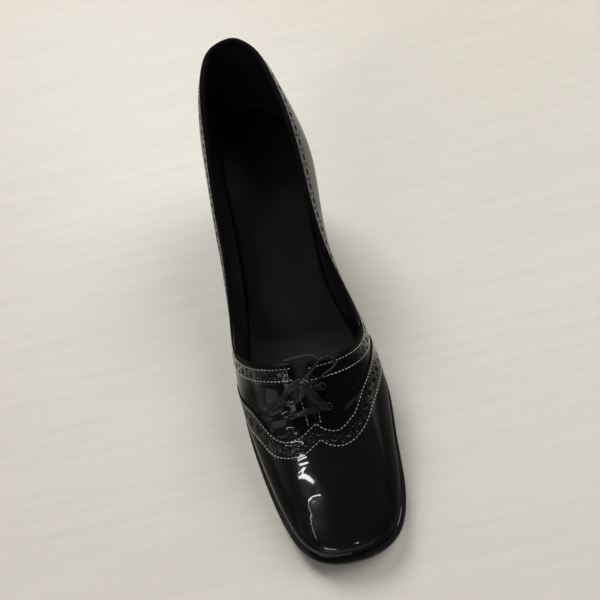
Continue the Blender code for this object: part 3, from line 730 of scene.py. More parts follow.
# %% Lines of the wing
Wing = namedtuple("Wing", "back_turn back_across front_turn front_across")
WING_LATERAL = [
    Wing(0.560, -1.000, 0.610, -1.000),
    Wing(0.602, -0.880, 0.655, -0.885),
    Wing(0.656, -0.743, 0.706, -0.744),
    Wing(0.682, -0.636, 0.732, -0.650),
    Wing(0.709, -0.556, 0.754, -0.590),
    Wing(0.734, -0.490, 0.771, -0.520),
    Wing(0.752, -0.414, 0.782, -0.432),
    Wing(0.760, -0.345, 0.789, -0.350),
    Wing(0.763, -0.270, 0.793, -0.262),
    Wing(0.762, -0.182, 0.793, -0.178),
    Wing(0.755, -0.098, 0.786, -0.088),
    Wing(0.746, -0.004, 0.778, -0.004),
]
WING_MEDIAL = [
    Wing(0.746, -0.004, 0.778, -0.004),
    Wing(0.756, 0.040, 0.788, 0.045),
    Wing(0.761, 0.085, 0.793, 0.100),
    Wing(0.764, 0.150, 0.794, 0.170),
    Wing(0.761, 0.215, 0.788, 0.262),
    Wing(0.750, 0.293, 0.775, 0.360),
    Wing(0.736, 0.370, 0.758, 0.448),
    Wing(0.717, 0.432, 0.734, 0.532),
    Wing(0.697, 0.496, 0.703, 0.625),
    Wing(0.676, 0.564, 0.680, 0.690),
    Wing(0.650, 0.642, 0.655, 0.760),
    Wing(0.600, 0.780, 0.622, 0.885),
    Wing(0.535, 1.000, 0.590, 1.000),
]
WING_STEP = 0.32  # spacing of the strip's rows along the band


def middle_of_band(table):
    """Turn and across of the middle of the band, at the rows of a table."""
    turn = (column(table, "back_turn") + column(table, "front_turn")) / 2
    across = (column(table, "back_across") + column(table, "front_across")) / 2
    return turn, across


def wing_lines():
    """Turn and across of both rows at even steps along the band, and the length from its point."""
    halves = []
    for table in (WING_LATERAL, WING_MEDIAL):
        knots = lengths_along(skin(*middle_of_band(table)))
        at = np.linspace(0, knots[-1], int(knots[-1] / WING_STEP))
        lines = [smooth_curve(knots, column(table, name), at) for name in Wing._fields]
        halves.append((lines, at - knots[-1] if table is WING_LATERAL else at))
    lines = [np.concatenate([a, b[1:]]) for a, b in zip(halves[0][0], halves[1][0])]
    return lines, np.concatenate([halves[0][1], halves[1][1][1:]])


(back_turn, back_across, front_turn, front_across), wing_length = wing_lines()
back_row, front_row = skin(back_turn, back_across), skin(front_turn, front_across)
band_width = np.linalg.norm(front_row - back_row, axis=1)
wing_middle = (back_row + front_row) / 2
wing_forward = unit(front_row - back_row)
band_length = wing_length[-1] - wing_length[0]
print("band is %.1f to %.1f mm wide and %.0f mm long" % (band_width.min(), band_width.max(), band_length))

# %% [markdown]
# Under the strip the leather rises to the level of the cap, so the cap's front runs on into the strip
# without a step. The finished skin is the last plus creases plus that rise, and all pieces on the upper are
# measured from it.

# %% Rise of the cap
CAP_THICK = 0.5
CAP_RAMP = (-1.5, 2.5)  # from behind the middle of the band to in front of it
CAP_BLOCK = 4000  # points worked out at a time
every = slice(None, None, 6)  # rows of the band that are close enough to measure from


def cap_lift(points):
    """The cap's thickness in front of the band, none behind it, and a ramp hidden under the strip."""
    flat = points.reshape(-1, 3)
    total = np.zeros(len(flat))
    for start in range(0, len(flat), CAP_BLOCK):
        block = slice(start, start + CAP_BLOCK)
        apart = flat[block][:, None] - wing_middle[None, every]
        closest = (apart**2).sum(-1).argmin(axis=1)
        ahead = (apart[np.arange(len(closest)), closest] * wing_forward[every][closest]).sum(-1)
        total[block] = CAP_THICK * ease(ahead, *CAP_RAMP)
    return total.reshape(points.shape[:-1])


def dressed(turn, across, lift=0.0):
    """A point at a lift above the creased leather, in millimetres."""
    points = skin(turn, across)
    return points + (crease_lift(points) + lift)[..., None] * skin_normal(turn, across)


print("cap is", CAP_THICK, "mm thick")

# %% [markdown]
# The collar's edge follows the topline table and, in front of the throat, the edge of the laced slit. From
# it the shell is a grid: turns along the shoe, shares from collar to feather line, once for the outside and
# once, a wall's thickness deeper, for the lining. The last rows turn out a little on to the rim of the
# sole. The halves are welded where they meet on the ridge, the heel back and the toe tip. A function of its
# own says where the lacquer is rubbed dull.

# %% Shape of the upper
TURN_COUNT, PROFILE_COUNT = 380, 64
FOOT_SHARES = [0.990, 0.9975, 1.0]  # the last rows, close together, turn out on to the rim of the sole
FOOT_KNOTS, FOOT_REACH = [0.984, 0.990, 0.9975, 1.0], [0.0, 0.05, 0.16, 1.0]
FOOT_TURNED = 0.16  # how far they reach over the rim, as a share of it
DENSE_STATION, DENSE_REACH, DENSE_EXTRA = 50.0, 36.0, 1.6
RUBBED = 0.94  # how dull the most rubbed places are


def collar_rises(side, turn):
    """The rise of the topline and the rise of the slit's edge."""
    foot_station, _ = feather(side, turn)
    ridge_station, _ = spine(turn)
    heights = column(TOPLINE, "medial" if side > 0 else "lateral")
    wanted = steady_curve(column(TOPLINE, "station"), heights, foot_station)
    full = height_column("ridge", ridge_station) - sole_top(foot_station) - GAP
    half_power = height_column("square", ridge_station) / 2
    topline = np.arcsin(np.clip(wanted / full, 0, 1)**half_power) * 2 / np.pi
    along_slit = np.clip((ridge_station - SLIT_END) / (THROAT - SLIT_END), 0, 1)
    half_gap = SLIT_HALF_AT_END[side] + (SLIT_HALF_AT_TOP[side] - SLIT_HALF_AT_END[side]) * along_slit
    return topline, rise_at_distance(side, turn, half_gap)


def upper_turns():
    """Turns along the shoe, closer together round the toe, where the lacquer shows every facet."""
    station = plan_column("station", FINE_TURNS)
    density = 1 + DENSE_EXTRA * np.exp(-((station - DENSE_STATION) / DENSE_REACH)**2)
    total = np.concatenate([[0], np.cumsum((density[1:] + density[:-1]) / 2)])
    return np.interp(np.linspace(0, total[-1], TURN_COUNT), total, FINE_TURNS)


def behind_band(turn, across, table):
    """1 behind the wing band on one side, 0 in front of it."""
    middle_turn, middle_across = middle_of_band(table)
    band = np.interp(across, middle_across, middle_turn)
    return 1 - ease(turn, band - 0.008, band + 0.006)


def dullness(turn, across):
    """How far the lacquer is rubbed dull, 0 to 1: the walls above the sole, and the vamp round the lacing."""
    out = np.abs(across)
    start = np.where(across < 0, 0.48, 0.53) + np.where(across < 0, 0.13, 0.08) * ease(turn, 0.86, 0.91)
    start = start + 0.10 * ease(turn, 0.92, 0.965)
    clean_edge = np.where(across < 0, 0.62 * ease(out, 0.76, 0.96), RUBBED * ease(out, 0.95, 0.98))
    wall = ease(out, start, start + 0.12) * (RUBBED - clean_edge)
    vamp = RUBBED * ease(across, -0.29, -0.20) * behind_band(turn, across, WING_MEDIAL)
    side_of_vamp = 0.9 * ease(-across, 0.42, 0.52) * behind_band(turn, across, WING_LATERAL)
    return ease(turn, 0.58, 0.66) * np.maximum(wall, np.maximum(vamp, side_of_vamp))


turns = upper_turns()
closed = spine(turns)[0] <= SLIT_END
layers = []
for side in (LATERAL, MEDIAL):
    edge = np.where(closed, 1.0, np.minimum(*collar_rises(side, turns)))
    top = across_at_rise(turns, edge)
    shares = np.append(np.linspace(0, 1, PROFILE_COUNT - 2)[:-1], FOOT_SHARES)
    across = side * (top[:, None] + (1 - top[:, None]) * shares[None, :])
    spread = np.broadcast_to(turns[:, None], across.shape)
    base = skin(spread, across)
    normal = skin_normal(spread, across)
    foot = FOOT_TURNED * plan_column("rim", turns)[:, None] * np.interp(shares, FOOT_KNOTS, FOOT_REACH)
    outer = base + (crease_lift(base) + cap_lift(base) + foot)[..., None] * normal
    inner = base + (crease_lift(base) - WALL)[..., None] * normal
    inner[:, -1, 2] = sole_top(inner[:, -1, 1]) + GAP
    layers.append((outer, inner, dullness(spread, across)))
print("upper grid:", TURN_COUNT, "by", PROFILE_COUNT, "on each side and layer")

# %% [markdown]
# The cap and vamp are patent leather: black, under a mirror-like lacquer, which is a coat in the shader.
# Towards the heel the quarters are smooth leather with a satin shine, and the coat fades out. One material
# does both, with the gloss and the rubbed places carried by values stored on the mesh. They set the weight
# of the coat and not its roughness, because an exported model keeps only the weight. Fine noise gives the
# lacquer its slight waviness, the leather its grain, and the surface its dust and wipes.

# %% Upper materials
PATENT_BLACK, PATENT_DUST = (0.0042, 0.0042, 0.0046), (0.016, 0.016, 0.016)
PATENT_SHINE, SATIN_SHINE = 0.10, 0.40  # how much the leather mirrors under the lacquer, and without it


def lacquered(tree, shader, kept):
    """Lacquer where the stored gloss is high, satin where it is low; kept is the share not rubbed away."""
    gloss = attribute(tree, "gloss")
    coat = join(tree, "MULTIPLY", remap(tree, gloss, 0.1, 0.9, 0.0, 1.0), kept)
    connect(shader, "Coat Weight", coat)
    shine = join(tree, "MULTIPLY", remap(tree, gloss, 0.0, 1.0, SATIN_SHINE, PATENT_SHINE), kept)
    connect(shader, "Specular IOR Level", shine)


upper_material, tree, shader = new_material("upper_leather", PATENT_BLACK, 0.3, Coat_Weight=1.0,
                                            Coat_IOR=1.42, Coat_Roughness=0.055,
                                            Specular_IOR_Level=PATENT_SHINE)
lacquered(tree, shader, remap(tree, attribute(tree, "dull"), 0.0, 1.0, 1.0, 0.0))
smears = noise(tree, 55.0, 5.0, 0.62)
connect(shader, "Roughness", remap(tree, smears, 0.35, 0.75, 0.26, 0.36))
grain = noise(tree, 1500.0, 4.0, 0.6)
wave = noise(tree, 210.0, 2.0, 0.5)
fine_bump = bump(tree, grain, 0.16, 0.00008)
coat_bump = bump(tree, wave, 0.10, 0.00025, fine_bump)
connect(shader, "Normal", coat_bump)
connect(shader, "Coat Normal", bump(tree, wave, 0.05, 0.00025))
dust = remap(tree, noise(tree, 900.0, 6.0, 0.7), 0.60, 0.80, 0.0, 1.0)
connect(shader, "Base Color", blend_colour(tree, dust, PATENT_BLACK, PATENT_DUST))

LINING_BLACK = (0.009, 0.0087, 0.0084)
LINING_DARK, LINING_WORN = (0.006, 0.0058, 0.0056), (0.014, 0.0135, 0.013)
lining_material, tree, shader = new_material("lining_leather", LINING_BLACK, 0.52, Specular_IOR_Level=0.3)
pores = noise(tree, 1100.0, 5.0, 0.65)
connect(shader, "Normal", bump(tree, pores, 0.25, 0.00012))
worn = noise(tree, 38.0, 4.0, 0.6)
connect(shader, "Base Color", blend_colour(tree, worn, LINING_DARK, LINING_WORN))
connect(shader, "Roughness", remap(tree, worn, 0.3, 0.7, 0.42, 0.62))
print("upper and lining materials made")

# %% Upper shell
UPPER_WELD, UPPER_SHARP = 0.06, 50
SATIN_FROM, SATIN_WHOLLY = 92.0, 150.0  # stations between which the lacquer gives way to satin leather
points, faces, material_index, dull = [], [], [], []
for outer, inner, dull_outside in layers:
    dull += [dull_outside.ravel(), np.zeros(dull_outside.size)]
    for layer, sheet in ((0, outer), (1, inner)):
        start = sum(len(block) for block in points)
        block_faces = grid_faces(TURN_COUNT, PROFILE_COUNT) + start
        faces.extend(block_faces.tolist())
        material_index += [layer] * len(block_faces)
        points.append(sheet.reshape(-1, 3))
    outer_start, inner_start = start - outer.shape[0] * outer.shape[1], start
    for i in range(TURN_COUNT - 1):
        for j in ([PROFILE_COUNT - 1] if closed[i] else [0, PROFILE_COUNT - 1]):
            a, b = i * PROFILE_COUNT + j, (i + 1) * PROFILE_COUNT + j
            faces.append([outer_start + a, outer_start + b, inner_start + b, inner_start + a])
            material_index.append(0)
upper = make_piece("upper_shell", np.concatenate(points), faces, [upper_material, lining_material],
                   ("upper",), material_index=material_index)
set_value(upper, "dull", np.concatenate(dull))
welded(upper, UPPER_SHARP, UPPER_WELD)
stations = np.array([vertex.co.y for vertex in upper.data.vertices]) / MM + CENTRE_STATION
set_value(upper, "gloss", 1 - ease(stations, SATIN_FROM, SATIN_WHOLLY))
print("upper shell:", len(upper.data.polygons), "faces")

# %% [markdown]
# The wing strip is ruled between its two rows and stands a leather's thickness above the vamp, its back
# edge turned down. The holes are pressed into the mesh itself: a large round one every 7.5 mm, and pairs of
# small ones between. The grid is fine, a third of a millimetre, because each hole is only a few points
# wide. A value on the mesh marks the holes, so that the material can make them dark and dull inside.

# %% Wing strip
HOLE_PITCH, HOLE_LARGE, HOLE_SMALL = 7.5, 1.3, 0.58
HOLE_DEPTH, HOLE_SPREAD = 0.9, 1.75
WING_BACK, WING_FRONT = -1.5, 2.0  # how far the strip runs past its rows
WING_WIDTH, WING_GRID = 8.6, 0.33  # width that the shares count in, and spacing across
WING_TOP = CAP_THICK + 0.06


def punched(length, cross):
    """1 inside the holes of a band and 0 outside, from places along and across it, in millimetres."""
    large = np.hypot((length + HOLE_PITCH / 2) % HOLE_PITCH - HOLE_PITCH / 2, cross) - HOLE_LARGE
    along = length % HOLE_PITCH - HOLE_PITCH / 2
    small = np.hypot(along, np.abs(cross) - HOLE_SPREAD) - HOLE_SMALL
    return 1 - ease(np.minimum(large, small), -0.16, 0.16)


back_edge = WING_BACK + np.array([0.0, 0.05, 0.2, 0.5])
back_lifts = [-0.3, 0.34, 0.5, WING_TOP]
front_edge = WING_WIDTH + WING_FRONT
offsets = np.concatenate([back_edge[:3], np.arange(back_edge[3], front_edge, WING_GRID)])
shares = offsets / WING_WIDTH
strip_turn = back_turn[:, None] + (front_turn - back_turn)[:, None] * shares
strip_across = np.clip(back_across[:, None] + (front_across - back_across)[:, None] * shares, -1, 1)
holes = punched(wing_length[:, None], offsets[None, :] - WING_WIDTH / 2)
rounded = np.interp(offsets, back_edge, back_lifts)
tucked = 0.16 * ease(offsets, front_edge - 1.2, front_edge)
strip_lift = (rounded - tucked)[None, :] - HOLE_DEPTH * holes
strip = dressed(strip_turn, strip_across, strip_lift)

strip_material = upper_material.copy()
strip_material.name = "punched_leather"
tree = strip_material.node_tree
shader = tree.nodes["Principled BSDF"]
inside = attribute(tree, "hole")
lacquered(tree, shader, remap(tree, inside, 0.2, 0.7, 1.0, 0.0))
connect(shader, "Roughness", remap(tree, inside, 0.2, 0.7, 0.30, 0.85))
wing = make_piece("wing_band", strip, grid_faces(*strip.shape[:2]), [strip_material])
cut_edge = 1 - ease(offsets, WING_BACK + 0.15, WING_BACK + 0.6)
rubbed = 0.55 * dullness(strip_turn, strip_across)
set_value(wing, "hole", np.maximum(np.maximum(holes, cut_edge[None, :]), rubbed))
set_value(wing, "gloss", np.ones(holes.shape))
print("wing band:", len(wing.data.polygons), "faces")

# %% [markdown]
# The topline is finished with a narrow bound roll and, below it, a second punched band. Both are one strip
# swept along the collar's edge, from the outer facing round the heel to the inner facing. A section gives
# the places across, in millimetres from the edge, and the lift at each: over the roll, along the band, and
# down at the lower edge. To walk square to the edge over a curved skin, a point is moved straight and then
# pulled back on to the skin.

# %% Topline strip
ROLL = [(3.0, -1.95), (1.4, -2.02), (0.5, -1.98), (-0.1, -1.75), (-0.45, -1.25), (-0.55, -0.6),
        (-0.4, 0.0), (0.0, 0.42), (0.5, 0.62), (1.0, 0.60), (1.4, 0.44), (1.62, 0.30), (1.8, 0.38)]
BAND_LIFT, BAND_START, BAND_END = 0.40, 2.0, 8.9
BAND_ROWS = (2.3, 7.8)
EDGE_FRONT, EDGE_SAMPLES = 70.0, 6000  # the edge is searched from the heel to this station
EDGE_STEP, BAND_STEP = 0.42, 0.34
PULLS = 4  # rounds of pulling a moved point back on to the skin


def step_over_skin(turn, across, move):
    """Turn and across of the point reached by moving over the leather by a vector, in millimetres."""
    target = skin(turn, across) + move
    for _ in range(PULLS):
        gap = target - skin(turn, across)
        along, over = skin_slopes(turn, across)
        a, b, c = (along * along).sum(-1), (along * over).sum(-1), (over * over).sum(-1)
        p, q = (along * gap).sum(-1), (over * gap).sum(-1)
        solid = a * c - b * b
        turn = turn + (c * p - b * q) / solid
        across = across + (a * q - b * p) / solid
    return turn, across


def topline_edge():
    """Turn and across along the collar's edge, from the outer facing round the heel to the inner facing."""
    halves = []
    for side in (LATERAL, MEDIAL):
        fine = np.linspace(0, turn_at_station(EDGE_FRONT), EDGE_SAMPLES)
        topline, slit = collar_rises(side, fine)
        fine, topline = fine[topline < slit], topline[topline < slit]
        across = side * across_at_rise(fine, topline)
        lengths = lengths_along(skin(fine, across))
        at = np.linspace(0, lengths[-1], int(lengths[-1] / EDGE_STEP))
        halves.append((np.interp(at, lengths, fine), np.interp(at, lengths, across), at))
    (turn_a, across_a, at_a), (turn_b, across_b, at_b) = halves
    return (np.concatenate([turn_a[:0:-1], turn_b]), np.concatenate([across_a[:0:-1], across_b]),
            np.concatenate([-at_a[:0:-1], at_b]))


edge_turn, edge_across, edge_length = topline_edge()
edge_points = skin(edge_turn, edge_across)
edge_down = unit(np.cross(unit(np.gradient(edge_points, axis=0)), skin_normal(edge_turn, edge_across)))
if edge_down[len(edge_down) // 3, 2] > 0:
    edge_down = -edge_down
flat_offsets = np.arange(BAND_START, BAND_END, BAND_STEP)
section = ROLL + [(offset, BAND_LIFT) for offset in flat_offsets]
section += [(BAND_END + 0.1, 0.36), (BAND_END + 0.2, 0.12), (BAND_END + 0.22, -0.25)]
section = np.array(section)
print("topline is %.0f mm round" % (edge_length[-1] - edge_length[0]))

# %% Topline strip mesh
spread_turn = np.repeat(edge_turn[:, None], len(section), axis=1)
spread_across = np.repeat(edge_across[:, None], len(section), axis=1)
moves = section[None, :, :1] * edge_down[:, None, :]
moved_turn, moved_across = step_over_skin(spread_turn, spread_across, moves)
band_middle = sum(BAND_ROWS) / 2
on_band = (section[:, 0] > BAND_START) & (section[:, 1] > 0.3)
holes = punched(edge_length[:, None], section[None, :, 0] - band_middle) * on_band
collar = dressed(moved_turn, moved_across, section[None, :, 1] - HOLE_DEPTH * holes)
collar_faces = grid_faces(*collar.shape[:2])
topline = make_piece("topline_band", collar, collar_faces, [strip_material])
on_roll = 0.62 * (section[:, 0] < 1.9)
rubbed = 0.7 * dullness(moved_turn, moved_across)
set_value(topline, "hole", np.maximum(np.maximum(holes, on_roll[None, :]), rubbed))
station = collar[..., 1]
set_value(topline, "gloss", 0.25 + 0.7 * (1 - ease(station, SATIN_FROM, SATIN_WHOLLY)))
print("topline band:", len(topline.data.polygons), "faces")

# %% [markdown]
# Stitches make the shoe's drawing: cream thread, about two millimetres a stitch. Each one is a short bead
# of thread that rises from the leather and dives back in. One bead is made once, then copied along every
# row with its own direction, all in one mesh, which is far lighter than hundreds of objects.

# %% Thread material
THREAD_SOILED, THREAD_CLEAN = (0.27, 0.245, 0.19), (0.62, 0.585, 0.48)
thread_material, tree, shader = new_material("cream_thread", (0.62, 0.575, 0.47), 0.62, Sheen_Weight=0.3)
connect(shader, "Normal", bump(tree, ribbing(tree, 900.0, 0.6), 0.5, 0.0001))
soil = remap(tree, noise(tree, 130.0, 3.0), 0.3, 0.7, 0.0, 1.0)
connect(shader, "Base Color", blend_colour(tree, soil, THREAD_SOILED, THREAD_CLEAN))
print("thread material made")

# %% Stitches
STITCH_PITCH, STITCH_LENGTH, THREAD = 1.95, 1.45, 0.37
BEAD_RINGS, BEAD_SIDES = 6, 7


def bead():
    """One stitch along x with its face towards z, in millimetres."""
    share = np.linspace(-1, 1, BEAD_RINGS)[:, None]
    around = np.linspace(0, 2 * np.pi, BEAD_SIDES, endpoint=False)[None, :]
    size = THREAD / 2 * (1 - 0.75 * share**4)
    arch = 0.20 * (1 - share**2) - 0.10
    x = np.broadcast_to(share * STITCH_LENGTH / 2, (BEAD_RINGS, BEAD_SIDES))
    return np.stack([x, size * np.cos(around), arch + size * np.sin(around)], axis=-1)


def stitches_along(turn, across, lift):
    """Beads along a row over the leather."""
    points = dressed(turn, across, lift)
    normals = skin_normal(turn, across)
    lengths = lengths_along(points)
    count = max(1, int(round(lengths[-1] / STITCH_PITCH)))
    at = (np.arange(count) + 0.5) * lengths[-1] / count
    middle = points_at(at, lengths, points)
    forward = unit(points_at(at + 0.5, lengths, points) - points_at(at - 0.5, lengths, points))
    upward = points_at(at, lengths, normals)
    upward = unit(upward - (upward * forward).sum(-1, keepdims=True) * forward)
    sideways = np.cross(upward, forward)
    axes = np.stack([forward, sideways, upward], axis=1)
    return middle[:, None, None, :] + np.einsum("rsk,nkd->nrsd", bead(), axes)


def make_stitching(name, rows):
    beads = np.concatenate([stitches_along(*row) for row in rows])
    sides = grid_faces(BEAD_RINGS, BEAD_SIDES, wrap=True)
    per_bead = BEAD_RINGS * BEAD_SIDES
    starts = np.arange(len(beads)) * per_bead
    faces = (sides[None] + starts[:, None, None]).reshape(-1, 4).tolist()
    for start in starts:
        faces.append(list(range(start, start + BEAD_SIDES)))
        faces.append(list(range(start + per_bead - BEAD_SIDES, start + per_bead))[::-1])
    make_piece(name, beads, faces, [thread_material])
    print(name, "has", len(beads), "stitches")


print("a stitch is %.2f mm long" % STITCH_LENGTH)

# %% Rows of stitches
FACING_STATIONS = np.linspace(69.5, 55.8, 30)
FACING_ROWS = {LATERAL: (3.6, 4.0), MEDIAL: (3.4, 1.8)}  # distance from the ridge at the top and at the end
peak = int(np.argmin(np.abs(wing_length)))
halves = (slice(None, peak + 1), slice(peak, None))
wing_rows = [(back_turn[half], back_across[half], WING_TOP) for half in halves]
wing_rows += [(front_turn[half], front_across[half], WING_TOP) for half in halves]
make_stitching("wing_stitching", wing_rows)
topline_rows = []
for offset in BAND_ROWS:
    row_turn, row_across = step_over_skin(edge_turn, edge_across, offset * edge_down)
    topline_rows.append((row_turn, row_across, BAND_LIFT))
make_stitching("topline_stitching", topline_rows)
facing_rows = []
facing_turn = turn_at_ridge(FACING_STATIONS)
for side, distances in FACING_ROWS.items():
    distance = np.linspace(*distances, len(FACING_STATIONS))
    facing_across = side * across_at_rise(facing_turn, rise_at_distance(side, facing_turn, distance))
    facing_rows.append((facing_turn, facing_across, 0.0))
make_stitching("facing_stitching", facing_rows)

# %% [markdown]
# The tongue lies under the slit, between leather and foot. It is a soft strip of leather with a rounded
# top, so it is a small swept sheet a little below the inside of the vamp.

# %% Tongue
TONGUE_ROWS, TONGUE_COLUMNS = 44, 26
TONGUE_START, TONGUE_TOP, TONGUE_HALF = 51.0, 83.5, 11.5
TONGUE_DEPTH, TONGUE_THICK = 2.9, 1.4
stations = np.linspace(TONGUE_START, TONGUE_TOP, TONGUE_ROWS)
share = (stations - TONGUE_START) / (TONGUE_TOP - TONGUE_START)
half = TONGUE_HALF * np.sqrt(1 - 0.6 * np.clip((share - 0.8) / 0.2, 0, 1)**2)
around = np.linspace(0, 2 * np.pi, TONGUE_COLUMNS * 2, endpoint=False)
wide = np.sign(np.cos(around)) * np.abs(np.cos(around))**0.35
thick = np.sign(np.sin(around)) * np.abs(np.sin(around))**0.5
ripple = 0.25 * np.sin(stations * 0.55)
distance = half[:, None] * wide[None, :]
lift = -TONGUE_DEPTH - TONGUE_THICK / 2 + thick[None, :] * TONGUE_THICK / 2 + np.minimum(ripple, 0)[:, None]
rings, _ = over_vamp(np.repeat(stations[:, None], len(around), axis=1), distance, lift)
vertices, faces = swept(rings)
make_piece("tongue_leather", vertices, faces, [lining_material], ("tongue",))
print("tongue is %.0f mm long" % (TONGUE_TOP - TONGUE_START))

# %% [markdown]
# Two bars of lace cross the slit between small black eyelets. Each bar arches a little over the slit and
# bends down into its eyelets at both ends, where a metal ring catches the light.

# %% Lace bars and eyelets
Eyelets = namedtuple("Eyelets", "station lateral medial")
EYELETS = {"lower": Eyelets(61.8, -9.8, 7.6), "upper": Eyelets(70.2, -9.4, 7.4)}
EYELET_RADIUS, EYELET_WIRE = 1.5, 0.42
EYELET_STEPS, EYELET_SIDES = 28, 10
BAR_WIDTH = RIBBON_WIDTH * 0.8
# share of the way across the slit, and lift
BAR = [(0.0, -0.8), (0.06, 0.5), (0.16, 1.15), (0.5, 1.5), (0.84, 1.15), (0.94, 0.5), (1.0, -0.8)]
eyelet_material, tree, shader = new_material("black_eyelet", (0.03, 0.03, 0.032), 0.22, Metallic=0.85)
connect(shader, "Roughness", remap(tree, noise(tree, 700.0), 0.3, 0.7, 0.15, 0.36))
for row, eyes in EYELETS.items():
    span = eyes.medial - eyes.lateral
    rows = [Strand(eyes.station, eyes.lateral + span * share, lift, 0) for share, lift in BAR]
    points, normals, twist = route(rows)
    vertices, faces = swept(ribbon_rings(points, normals, twist, BAR_WIDTH, RIBBON_THICK))
    make_piece(f"lace_bar_{row}_ribbon", vertices, faces, [lace_material], (f"lace_bar_{row}",))
rings = []
around = np.linspace(0, 2 * np.pi, EYELET_STEPS, endpoint=False)[:, None, None]
wire = np.linspace(0, 2 * np.pi, EYELET_SIDES, endpoint=False)[None, :, None]
for eyes in EYELETS.values():
    for distance in (eyes.lateral, eyes.medial):
        centre, normal = over_vamp(eyes.station, distance, 0.15)
        first = unit(np.cross(normal, [0.0, 1.0, 0.0]))
        second = np.cross(normal, first)
        out = np.cos(around) * first + np.sin(around) * second
        reach = EYELET_RADIUS + EYELET_WIRE * np.cos(wire)
        rings.append(centre + out * reach + normal * EYELET_WIRE * np.sin(wire) * 0.8)
points = np.concatenate([ring.reshape(-1, 3) for ring in rings])
per_ring = EYELET_STEPS * EYELET_SIDES
one = grid_faces(EYELET_STEPS + 1, EYELET_SIDES, wrap=True) % per_ring
faces = np.concatenate([one + per_ring * k for k in range(len(rings))])
make_piece("eyelets", points, faces, [eyelet_material])
print(len(rings), "eyelets")

# %% [markdown]
# The sole is a thin leather plate: flat under the ball, bent up at the toe, arched at the waist where it is
# thinner and narrower. Its edge is slightly rounded and blackened. A section walks from the middle of the
# top out to the edge, round it and back below, at each turn of the plan. The three surfaces wear
# differently, so each has its own material. A few gouges across the waist are placed one by one, as a value
# on the mesh.

# %% Outsole materials
def scuffed(name, colour, worn_colour, roughness, scratch_stretch, scratch_low, scratch_high):
    """A dull surface with scratches drawn out along one direction, specks and a rough grain."""
    material, tree, shader = new_material(name, colour, roughness, Specular_IOR_Level=0.15)
    scratch = remap(tree, noise(tree, 110.0, 7.0, 0.72, scratch_stretch), scratch_low, scratch_high, 0.0, 1.0)
    speck = remap(tree, noise(tree, 620.0, 2.0, 0.5), 0.735, 0.78, 0.0, 1.0)
    ragged = remap(tree, noise(tree, 480.0, 5.0, 0.7), 0.36, 0.54, 0.0, 1.0)
    gouge = join(tree, "MULTIPLY", attribute(tree, "gouge"), ragged)
    marks = join(tree, "MAXIMUM", join(tree, "MAXIMUM", scratch, speck), gouge)
    connect(shader, "Base Color", blend_colour(tree, marks, colour, worn_colour))
    uneven = remap(tree, noise(tree, 90.0, 4.0), 0.3, 0.7, roughness - 0.12, roughness + 0.12)
    connect(shader, "Roughness", uneven)
    connect(shader, "Normal", bump(tree, noise(tree, 800.0, 5.0, 0.65), 0.35, 0.00018))
    return material


edge_material = scuffed("sole_edge", (0.009, 0.0088, 0.0086), (0.045, 0.042, 0.038), 0.56,
                        (1, 1, 8), 0.60, 0.86)
tread_material = scuffed("sole_tread", (0.026, 0.0255, 0.025), (0.16, 0.145, 0.125), 0.72,
                         (7, 1.4, 1), 0.63, 0.84)
waist_material = scuffed("sole_waist", (0.012, 0.0118, 0.0115), (0.40, 0.180, 0.065), 0.42,
                         (9, 1.2, 1), 0.68, 0.80)
print("sole materials made")

# %% Sections of a plate
SOLE_TURNS, SOLE_COLUMNS = 200, 14


def offset_outline(side, turns, distance):
    """The feather line moved outward, square to itself."""
    small = 1e-4
    ahead = feather(side, np.clip(turns + small, 0, 1))
    behind = feather(side, np.clip(turns - small, 0, 1))
    along_station, along_x = ahead[0] - behind[0], ahead[1] - behind[1]
    size = np.hypot(along_station, along_x)
    station, x = feather(side, turns)
    return station + distance * along_x / size * side, x - distance * along_station / size * side


def face_row(middle, edge, share, height):
    """A row of points on a plate's face, at a share of the way from its middle line to its edge."""
    station, x = (inner + (outer - inner) * share for inner, outer in zip(middle, edge))
    return x, station, height(station)


def plate_sections(turns, inset, top, under, bulge, edge_points):
    """Rings of a plate, one for each turn, from the middle of its top round the edge to the middle below."""
    middle_line = spine(turns)
    shares = np.linspace(0, 1, SOLE_COLUMNS)
    angle = np.linspace(np.pi / 2, -np.pi / 2, edge_points)
    sides = []
    for side in (LATERAL, MEDIAL):
        edge = offset_outline(side, turns, inset)
        middle, half = (top(edge[0]) + under(edge[0])) / 2, (top(edge[0]) - under(edge[0])) / 2
        rows = [face_row(middle_line, edge, share, top) for share in shares]
        for step in angle[1:-1]:
            out_station, out_x = offset_outline(side, turns, inset + bulge * np.cos(step))
            lift = np.sign(np.sin(step)) * np.abs(np.sin(step))**0.6
            rows.append((out_x, out_station, middle + half * lift))
        rows += [face_row(middle_line, edge, share, under) for share in shares[::-1]]
        sides.append(np.stack([np.stack(np.broadcast_arrays(*row), axis=-1) for row in rows], axis=1))
    return sides


def plate_mesh(sides):
    """Points and faces of the two halves of a plate."""
    rows, columns = sides[0].shape[:2]
    one = grid_faces(rows, columns)
    points = np.concatenate([half.reshape(-1, 3) for half in sides])
    return points, np.concatenate([one, one + rows * columns])


print("a plate has", SOLE_COLUMNS, "points from its middle to its edge")

